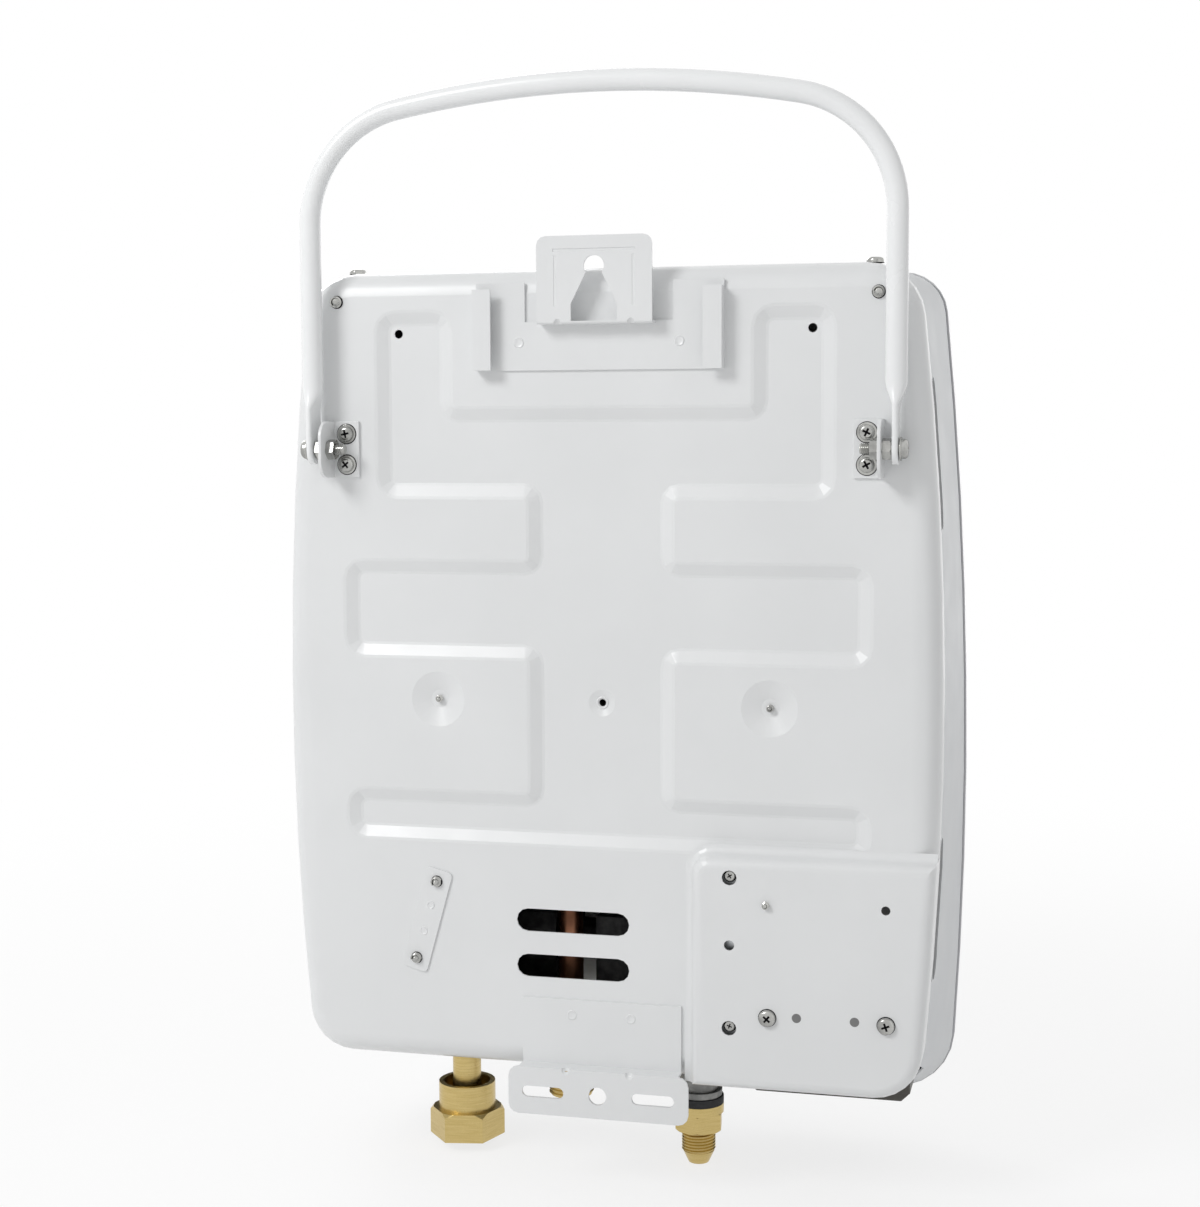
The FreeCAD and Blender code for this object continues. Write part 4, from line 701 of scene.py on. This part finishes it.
def narrowed(look):
    # the plain cylinder under a thread is drawn in to the root of the thread
    centre = place(*look["spot"], 0)
    low, high, outer, radius = look["neck"]

    def change(piece):
        def onCylinder(point):
            away = math.hypot(point.x - centre.x, point.y - centre.y) * perMetre
            level = (point.z - panelShift.z) * perMetre
            return abs(away - outer) < threadForm["near"] and low <= level <= high

        editPoints(piece, onCylinder)
        shrink = radius / outer
        bpy.ops.transform.resize(value=(shrink, shrink, 1), center_override=centre)
        bpy.ops.object.mode_set(mode="OBJECT")

    return change


shownCopy("gas_flare_adapter", 35, 0.00025, narrowed(threadLook["flare"]))
flareThread = threadRidge("flare_thread", threadLook["flare"])
fit(flareThread, "heater", "brass")
shownCopy("hose_swivel_nut", 35, 0.0004)
hoseThread = threadRidge("hose_thread_inside", threadLook["hose"])
fit(hoseThread, "hose_nut", "brass")
shownCopy("hot_water_outlet", 40, 0.0002, narrowed(threadLook["outlet"]))
outletThread = threadRidge("outlet_thread", threadLook["outlet"])
fit(outletThread, "heater", slotOf["hot_water_outlet"])
print("threads wound")

# carry handle: bent tube with its ends pressed flat
handleLook = dict(side=129.0, stand=9.0, radius=4.65, tubeStart=139.8, tabTop=129.8, pivot=111.8,
                  corner=(79.0, 210.075), crown=(0.0, -206.5), sides=32, cornerSteps=22, crownSteps=10,
                  tabHalf=1.3, tabWidth=6.5, tabRound=0.96, necking=6, neckEase=0.9, tipSteps=8,
                  tipEase=0.25, boltRadius=2.6, boltSides=24, boltReach=4, near=0.0001)


def modelHandle():
    look = handleLook
    x, y = look["side"], look["stand"]
    cornerAngle = math.atan2(look["corner"][1] - look["crown"][1], look["corner"][0])
    pickNothing()
    bpy.ops.mesh.primitive_circle_add(vertices=look["sides"], radius=look["radius"] / perMetre,
                                      location=place(x, y, look["tubeStart"]))
    tube = bpy.context.active_object
    applyAll(tube)
    bpy.ops.object.mode_set(mode="EDIT")
    bpy.context.tool_settings.mesh_select_mode = (True, False, False)
    bpy.ops.mesh.select_all(action="SELECT")
    rise = (look["corner"][1] - look["tubeStart"]) / perMetre
    bpy.ops.mesh.extrude_region_move(TRANSFORM_OT_translate={"value": (0, 0, rise)})
    bpy.ops.mesh.spin(steps=look["cornerSteps"], angle=cornerAngle, axis=back,
                      center=place(look["corner"][0], y, look["corner"][1]))
    bpy.ops.mesh.spin(steps=look["crownSteps"], angle=math.pi / 2 - cornerAngle, axis=back,
                      center=place(look["crown"][0], y, look["crown"][1]))
    bpy.ops.object.mode_set(mode="OBJECT")

    pickNothing()
    bpy.ops.mesh.primitive_plane_add(size=1, location=place(x, y, look["tabTop"]))
    tab = bpy.context.active_object
    tab.scale = (2 * look["tabHalf"] / perMetre, 2 * look["tabWidth"] / perMetre, 1)
    applyAll(tab)
    bpy.ops.object.mode_set(mode="EDIT")
    bpy.ops.mesh.select_all(action="SELECT")
    bpy.ops.mesh.bevel(offset=look["tabHalf"] * look["tabRound"] / perMetre,
                       segments=look["sides"] // 4 - 1, affect="VERTICES", profile=0.5)
    bpy.ops.mesh.delete(type="ONLY_FACE")
    bpy.ops.object.mode_set(mode="OBJECT")
    handle = joinPieces("handle_shown", [tube, tab])

    topLevel = place(0, 0, look["tabTop"]).z
    startLevel = place(0, 0, look["tubeStart"]).z
    editPoints(handle, lambda point: point.x > 0.1 and point.z < startLevel + look["near"])
    bpy.ops.mesh.bridge_edge_loops(number_cuts=look["necking"], interpolation="SURFACE",
                                   smoothness=look["neckEase"])
    bpy.ops.object.mode_set(mode="OBJECT")

    editPoints(handle, lambda point: abs(point.z - topLevel) < look["near"])
    drop = (look["pivot"] - look["tabTop"]) / perMetre
    bpy.ops.mesh.extrude_region_move(TRANSFORM_OT_translate={"value": (0, 0, drop)})
    width, depth = 1.0, 0.0
    for k in range(1, look["tipSteps"] + 1):
        turn = math.pi / 2 * k / (look["tipSteps"] + look["tipEase"])
        nextDepth = look["tabWidth"] * math.sin(turn)
        drop = (depth - nextDepth) / perMetre
        bpy.ops.mesh.extrude_region_move(TRANSFORM_OT_translate={"value": (0, 0, drop)})
        bpy.ops.transform.resize(value=(1, math.cos(turn) / width, 1),
                                 center_override=place(x, y, look["pivot"]))
        width, depth = math.cos(turn), nextDepth
    bpy.ops.mesh.edge_face_add()
    bpy.ops.object.mode_set(mode="OBJECT")

    twin = handle.modifiers.new("otherSide", "MIRROR")
    twin.use_clip = True
    twin.merge_threshold = 0.00001
    applyModifier(handle, twin)
    mend(handle)
    for side in (-1, 1):
        ends = [(side * (x + way * look["boltReach"]), y, look["pivot"]) for way in (-1, 1)]
        cutAway(handle, addBar("boltHole", look["boltRadius"], *ends, sides=look["boltSides"]))
    settle(handle, 40)
    fit(handle, "carry_handle", "white_tube")
    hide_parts("handle")


modelHandle()
print("handle bent")

# screws and other small fasteners
screwLook = dict(radius=3.75, height=2.4, flange=3.75, flangeHeight=0.55, reach=2.7, slot=1.35,
                 depth=1.8, sides=36, dome=0.62, domeSteps=5, taper=(0.35, 0.35, 1), flangeSoft=0.3)
flangedLook = dict(screwLook, radius=3.35, flange=4.3)
smallLook = dict(screwLook, radius=2.6, height=1.5, flange=2.6, flangeHeight=0.4, reach=1.7, slot=0.8,
                 depth=1.1, sides=28)
tipLook = dict(core=1.75, pitch=1.3, crest=2.35, length=3.2, point=1.3, sides=24, blunt=0.45,
               overlap=0.02, soft=0.00015, ridgeSink=0.1, ridgeStart=0.1, ridgeShare=0.8)
cornerTipLook = dict(tipLook, core=2.0, crest=2.6, length=3.0, point=1.5, pitch=1.2)
fineTipLook = dict(tipLook, core=1.15, crest=1.55, length=3.4, point=1.0, pitch=0.8)
pegLook = dict(radius=2.05, sunk=-0.7, proud=0.06, sides=28, soft=0.00008)


def modelCrossHead(look):
    # pan head with a cross recess, standing on zero
    radius, height = look["radius"] / perMetre, look["height"] / perMetre
    pickNothing()
    bpy.ops.mesh.primitive_cylinder_add(vertices=look["sides"], radius=radius, depth=height,
                                        location=(0, 0, height / 2))
    head = bpy.context.active_object
    applyAll(head)
    editFaces(head, faces((0, 0, 1)))
    bpy.ops.mesh.bevel(offset=height * look["dome"], segments=look["domeSteps"], profile=0.5,
                       affect="EDGES")
    bpy.ops.object.mode_set(mode="OBJECT")
    arms = []
    for turn in (0, 90):
        pickNothing()
        bpy.ops.mesh.primitive_cube_add(size=1, location=(0, 0, height))
        arm = bpy.context.active_object
        arm.scale = (2 * look["reach"] / perMetre, look["slot"] / perMetre, 2 * look["depth"] / perMetre)
        arm.rotation_euler.z = math.radians(turn)
        applyAll(arm)
        editFaces(arm, faces((0, 0, -1)))
        bpy.ops.transform.resize(value=look["taper"],
                                 center_override=(0, 0, height - look["depth"] / perMetre))
        bpy.ops.object.mode_set(mode="OBJECT")
        arms.append(arm)
    for arm in arms:
        cutAway(head, arm)
    mend(head, 0.00001)
    if look["flange"] > look["radius"]:
        pickNothing()
        thick = look["flangeHeight"] / perMetre
        bpy.ops.mesh.primitive_cylinder_add(vertices=look["sides"], radius=look["flange"] / perMetre,
                                            depth=thick, location=(0, 0, thick / 2))
        flange = bpy.context.active_object
        applyAll(flange)
        roundEdges(flange, thick * look["flangeSoft"])
        head = joinPieces("head", [head, flange])
    settle(head, 35)
    return head


def modelTip(look):
    # end of a sheet-metal screw: core, wound ridge and point
    radius, neck, end = look["core"], look["length"] - look["point"], look["length"]
    core = addBar("core", radius, (0, 0, 0), (0, 0, neck), look["sides"])
    cap = addBar("cap", radius, (0, 0, neck - look["overlap"]), (0, 0, end), look["sides"],
                 radius * look["blunt"])
    roundEdges(cap, look["soft"])
    wound = dict(spot=(0, 0), pitch=look["pitch"], root=radius - look["ridgeSink"], crest=look["crest"],
                 top=end - look["point"] * look["ridgeShare"], bottom=look["ridgeStart"])
    tip = joinPieces("tip", [core, cap, threadRidge("ridge", wound, look["sides"])])
    atZero(tip)
    settle(tip, 50)
    return tip


def modelPeg(look):
    peg = addBar("flatPeg", look["radius"], (0, 0, look["sunk"]), (0, 0, look["proud"]), look["sides"])
    roundEdges(peg, look["soft"])
    atZero(peg)
    settle(peg)
    return peg


crossHead = modelCrossHead(screwLook)
flangedHead = modelCrossHead(flangedLook)
innerHead = modelCrossHead(smallLook)
screwTip = modelTip(tipLook)
cornerTip = modelTip(cornerTipLook)
fineTip = modelTip(fineTipLook)
flatPeg = modelPeg(pegLook)

strapLook = dict(centre=(81.3, 1.0, -100.8), tilt=15.7, screws=(18.5, -18.5), welds=(7.0, -5.5),
                 weldRadius=2.0)
strapCentre, strapTilt = Vector(strapLook["centre"]), math.radians(strapLook["tilt"])
strapAlong = Vector((-math.sin(strapTilt), 0, math.cos(strapTilt)))
strapSpots = [(tuple(strapCentre + strapAlong * reach), back, reach) for reach in strapLook["screws"]]
fastenerSpots = {
    # group: (model, replaced node, slot, places as spot, direction and turn)
    "corner_screws": (cornerTip, "corner_screws", "zinc",
                      [((-120.5, 0, 177.2), back, 20), ((120.5, 0, 177.2), back, 75)]),
    "handle_bracket_screws": (flangedHead, "handle_bracket_screws", "zinc",
                              [((side * 116.2, 1.5, z), back, turn) for side, z, turn in
                               ((1, 118.65, 12), (1, 104.95, 40), (-1, 118.65, 65), (-1, 104.95, 28))]),
    "battery_box_screws": (crossHead, "battery_box_screws", "zinc",
                           [((-75.8, 8.5, -133.6), back, 50), ((-126.9, 8.5, -133.6), back, 20)]),
    "strap_screws": (screwTip, "strap_screws", "zinc", strapSpots),
    "top_edge_screws": (crossHead, "top_edge_screws", "zinc",
                        [((side * 117.0, -18.0, 190.5), (0, 0, 1), 30 * side) for side in (-1, 1)]),
    "dimple_screws": (fineTip, None, "zinc",
                      [((side * 75.0, -2.9, 0.0), back, 40 * side) for side in (-1, 1)]),
    "block_screw_tip": (fineTip, None, "zinc", [((-75.0, 8.2, -84.0), back, 10)]),
    "inner_bracket_screws": (innerHead, None, "zinc",
                             [((-59.0, 5.9, -72.3), back, 33), ((-59.0, 5.9, -138.7), back, 70)]),
    "block_pegs": (flatPeg, None, "galvanised",
                   [((-88.5, 8.5, -132.9), back, 0), ((-113.5, 8.5, -132.9), back, 0)]),
}
for group, (model, node, slot, spots) in fastenerSpots.items():
    copies = [placedCopy(model, group + "_part", *spot) for spot in spots]
    shown = joinPieces(group + "_shown" if node else group, copies)
    fit(shown, "heater", slot, rivetGrey if group == "block_pegs" else None)
    if node:
        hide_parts(node)

# painted shade: near-black plugs darken the floors of the cross recesses, and a thin near-black ring
# round each fastener stands for its contact shadow
shadeLook = {
    # group: (shaded floor radius, shaded floor top, shadow ring radius)
    "corner_screws": (0, 0, 2.95),
    "handle_bracket_screws": (2.4, 1.05, 4.65),
    "battery_box_screws": (2.6, 1.05, 4.05),
    "strap_screws": (0, 0, 2.7),
    "top_edge_screws": (2.6, 1.05, 4.0),
    "inner_bracket_screws": (1.7, 0.8, 2.9),
    "block_screw_tip": (0, 0, 1.9),
}
shadowRingLook = dict(height=0.07, sides=36, taper=0.97, shadedFloorSides=24, soft=0.00002)
shades = []
for group, (shadedFloorRadius, shadedFloorTop, shadowRingRadius) in shadeLook.items():
    top = (0, 0, shadowRingLook["height"])
    parts = [addBar("shadowRing", shadowRingRadius, (0, 0, 0), top, shadowRingLook["sides"], shadowRingRadius * shadowRingLook["taper"])]
    if shadedFloorRadius:
        parts.append(addBar("floor", shadedFloorRadius, top, (0, 0, shadedFloorTop), shadowRingLook["shadedFloorSides"]))
    shade = atZero(joinPieces("shade", parts))
    shades += [placedCopy(shade, "shade_part", *spot) for spot in fastenerSpots[group][3]]
    bpy.data.objects.remove(shade, do_unlink=True)
recessShade = joinPieces("screw_recess_shade", shades)
roundEdges(recessShade, shadowRingLook["soft"], 1)
settle(recessShade)
# painted shade: the rings and plugs take the near-black holeShade finish
fit(recessShade, "heater", "black_plastic", holeShade)

# handle pivots: threaded shank, two nuts, washer and domed head on each side
pivotLook = dict(spot=(127.2, 9.0, 111.8), turn=15, end=-13.2, innerNut=-8.9, outerNut=-3.7, shank=2.42,
                 shankSink=1, core=2.1, coreSoft=0.0003, sides=28, washer=5.0, washerSpan=(3.5, 4.3),
                 washerSides=40, washerSoft=0.00015,
                 thread=dict(pitch=0.8, sink=0.05, crest=2.5, gaps=(0.5, 0.3)))
nutLook = dict(flats=8.0, height=3.7, chamfer=0.00042, barrel=1.002, barrelSides=48)
domeLook = dict(screwLook, radius=4.2, flange=4.2, height=2.75)


def modelHexNut(low):
    # six flats, with the corners turned off at both ends
    look = nutLook
    ends, corner = ((0, 0, low), (0, 0, low + look["height"])), look["flats"] / math.sqrt(3)
    nut = addBar("nut", corner, *ends, 6)
    barrel = addBar("barrel", corner * look["barrel"], *ends, look["barrelSides"])
    roundEdges(barrel, look["chamfer"], 1)
    common = nut.modifiers.new("common", "BOOLEAN")
    common.operation = "INTERSECT"
    common.object = barrel
    common.solver = "EXACT"
    applyModifier(nut, common)
    bpy.data.objects.remove(barrel, do_unlink=True)
    return nut


def modelPivot():
    # stands on zero where the outer nut ends, with its head up
    look, form = pivotLook, pivotLook["thread"]
    neck = (0, 0, look["innerNut"] + look["shankSink"])
    under, over = ((0, 0, level) for level in look["washerSpan"])
    wound = dict(spot=(0, 0), pitch=form["pitch"], root=look["core"] - form["sink"], crest=form["crest"],
                 bottom=look["end"] + form["gaps"][0], top=look["innerNut"] + form["gaps"][1])
    core = addBar("core", look["core"], (0, 0, look["end"]), neck, look["sides"])
    shank = addBar("shank", look["shank"], neck, over, look["sides"])
    ridge = threadRidge("thread", wound, look["sides"])
    nuts = [modelHexNut(look["innerNut"]), modelHexNut(look["outerNut"])]
    roundEdges(core, look["coreSoft"])
    washer = addBar("washer", look["washer"], under, over, look["washerSides"])
    roundEdges(washer, look["washerSoft"])
    pivot = atZero(joinPieces("pivot", [core, shank, ridge, *nuts, washer]))
    head = modelCrossHead(domeLook)
    head.location.z = over[2] / perMetre
    applyAll(head)
    pivot = joinPieces("pivot", [pivot, head])
    settle(pivot, 35)
    return pivot


pivot = modelPivot()
reach, stand, level = pivotLook["spot"]
pivots = [placedCopy(pivot, "pivot_part", (side * reach, stand, level), (side, 0, 0),
                     side * pivotLook["turn"]) for side in (-1, 1)]
pivotsShown = joinPieces("pivot_bolts_shown", pivots)
fit(pivotsShown, bodyOf["pivot_bolts"], "zinc")
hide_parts("pivot_bolts")
for model in (crossHead, flangedHead, innerHead, screwTip, cornerTip, fineTip, flatPeg, pivot):
    bpy.data.objects.remove(model, do_unlink=True)
print("fasteners placed")

# pressed details of the brackets
weldLook = dict(radius=2.4, depth=0.36, sunk=0.02, sides=24, top=0.8, insets=((0.3, 0.8), (0.25, 0.15)),
                bracket=((-35.7, 158.0), (35.7, 158.0), (-13.5, -140.5), (13.5, -140.5)), face=1.2)
collarLook = dict(radius=2.4, bead=0.5, level=-3.95, steps=(40, 12))


def modelWeld(spot, radius=weldLook["radius"]):
    # shallow spot-weld mark
    look = weldLook
    x, y, z = spot
    mark = addBar("weld", radius, (x, y - look["sunk"], z), (x, y + look["depth"], z), look["sides"],
                  radius * look["top"])
    editFaces(mark, faces(back))
    for inset, drop in look["insets"]:
        bpy.ops.mesh.inset(thickness=radius * inset / perMetre)
        bpy.ops.transform.translate(value=(0, -look["depth"] * drop / perMetre, 0))
    bpy.ops.object.mode_set(mode="OBJECT")
    smooth(mark, 18)
    return mark


def modelCollar():
    # raised rim of the centre hole
    look = collarLook
    pickNothing()
    bpy.ops.mesh.primitive_torus_add(major_radius=look["radius"] / perMetre,
                                     minor_radius=look["bead"] / perMetre,
                                     major_segments=look["steps"][0], minor_segments=look["steps"][1],
                                     location=place(0, look["level"], 0), rotation=(math.pi / 2, 0, 0))
    collar = bpy.context.active_object
    applyAll(collar)
    smooth(collar, 60)
    return collar


details = [modelWeld((x, weldLook["face"], z)) for x, z in weldLook["bracket"]]
details += [modelWeld(tuple(strapCentre + strapAlong * reach), strapLook["weldRadius"])
            for reach in strapLook["welds"]]
details.append(modelCollar())
pressed = joinPieces("weld_marks", details)
fit(pressed, "heater", "white_enamel")
print("pressed details added")

# painted shade behind the side vents: a near-black strip stands for their dark depth
ventLook = dict(spans=((77.0, 142.0), (-120.0, -57.0)), depth=-20.0, width=7.6, start=150.0, cuts=15,
                lift=0.00009, thickness=0.00006, join=0.000001)


def modelVentShade(side, low, high):
    # strip wrapped close to the flange of the back panel, where the vent shows it
    look = ventLook
    spot = place(side * look["start"], look["depth"], (low + high) / 2)
    pickNothing()
    bpy.ops.mesh.primitive_plane_add(size=1, location=spot, rotation=(0, side * math.pi / 2, 0))
    strip = bpy.context.active_object
    strip.scale = ((high - low) / perMetre, look["width"] / perMetre, 1)
    applyAll(strip)
    editFaces(strip, lambda face: True)
    bpy.ops.mesh.subdivide(number_cuts=look["cuts"])
    bpy.ops.object.mode_set(mode="OBJECT")
    wrap = strip.modifiers.new("wrap", "SHRINKWRAP")
    wrap.target = nodes["back_panel"]
    wrap.wrap_method = "NEAREST_SURFACEPOINT"
    wrap.wrap_mode = "OUTSIDE_SURFACE"
    wrap.offset = look["lift"]
    applyModifier(strip, wrap)
    thick = strip.modifiers.new("thick", "SOLIDIFY")
    thick.thickness = look["thickness"]
    thick.offset = 0
    applyModifier(strip, thick)
    mend(strip, look["join"])
    return strip


strips = [modelVentShade(side, *span) for side in (-1, 1) for span in ventLook["spans"]]
ventShade = joinPieces("side_vent_shade", strips)
smooth(ventShade, 60)
fit(ventShade, "heater", "black_plastic", holeShade)
print("side vents shaded")

# control face: pointers, dial marks round the knobs and the figures of the display
controlLook = dict(knobs={"gas_knob": -70.0, "season_knob": 0.0, "water_knob": 70.0}, level=-140.0)
pointerLook = dict(half=0.7, low=6.0, high=15.2, face=-138.6, lift=0.1, soft=0.00006)
dialLook = dict(face=-120.0, lift=0.12, sunk=0.05, inner=23.0, outer=26.0, width=0.9, boldWidth=1.35,
                marks=11, sweep=270.0, soft=0.00006)
digitLook = dict(level=-85.0, face=-119.6, lift=0.08, sunk=0.05, half=3.5, rise=6.5, stroke=0.8,
                 gaps=(1.2, 1.1), spots=(-5.5, 5.5), figures=("bcfg", "abged"), soft=0.00005)


def modelPointer(knob, x):
    look = pointerLook
    half, face, lift, level = look["half"], look["face"], look["lift"], controlLook["level"]
    pointer = addBlock(knob + "_pointer", (x - half, face - lift, level + look["low"]),
                       (x + half, face + lift, level + look["high"]))
    roundEdges(pointer, look["soft"], 1)
    return pointer


def modelMark(width):
    # one printed mark, standing above the dial's centre with its face up
    look = dialLook
    mark = atZero(addBlock("mark", (-width / 2, look["inner"], -look["sunk"]),
                           (width / 2, look["outer"], look["lift"])))
    roundEdges(mark, look["soft"], 1)
    return mark


for knob, x in controlLook["knobs"].items():
    fit(modelPointer(knob, x), bodyOf[knob], "knob_plastic", pointerWhite)
thinMark, boldMark = modelMark(dialLook["width"]), modelMark(dialLook["boldWidth"])
lastMark = dialLook["marks"] - 1
marks = []
for x in controlLook["knobs"].values():
    for k in range(dialLook["marks"]):
        turn = dialLook["sweep"] * (k / lastMark - 0.5)
        marks.append(placedCopy(boldMark if k in (0, lastMark) else thinMark, "mark_part",
                                (x, dialLook["face"], controlLook["level"]), (0, -1, 0), turn))
dialMarks = joinPieces("dial_marks", marks)
for model in (thinMark, boldMark):
    bpy.data.objects.remove(model, do_unlink=True)
fit(dialMarks, "heater", "black_plastic", dialInk)


def modelFigure(x, strokes):
    # seven-bar figure, seen from the front, where its left is towards -x
    look = digitLook
    half, rise, stroke = look["half"], look["rise"], look["stroke"]
    bars = {"a": (0, rise, True), "g": (0, 0, True), "d": (0, -rise, True), "b": (1, rise / 2, False),
            "c": (1, -rise / 2, False), "f": (-1, rise / 2, False), "e": (-1, -rise / 2, False)}
    lying = half - stroke * look["gaps"][0], stroke
    standing = stroke, rise / 2 - stroke * look["gaps"][1]
    made = []
    for letter in strokes:
        side, z, level = bars[letter]
        wide, tall = lying if level else standing
        middle, height = x + side * half, look["level"] + z
        made.append(addBlock("bar", (middle - wide, look["face"] - look["lift"], height - tall),
                             (middle + wide, look["face"] + look["sunk"], height + tall)))
    return made


figureBars = [bar for x, strokes in zip(digitLook["spots"], digitLook["figures"])
              for bar in modelFigure(x, strokes)]
figures = joinPieces("display_figures", figureBars)
roundEdges(figures, digitLook["soft"], 1)
fit(figures, "heater", "lens", digitGlow)
print("control face marked")
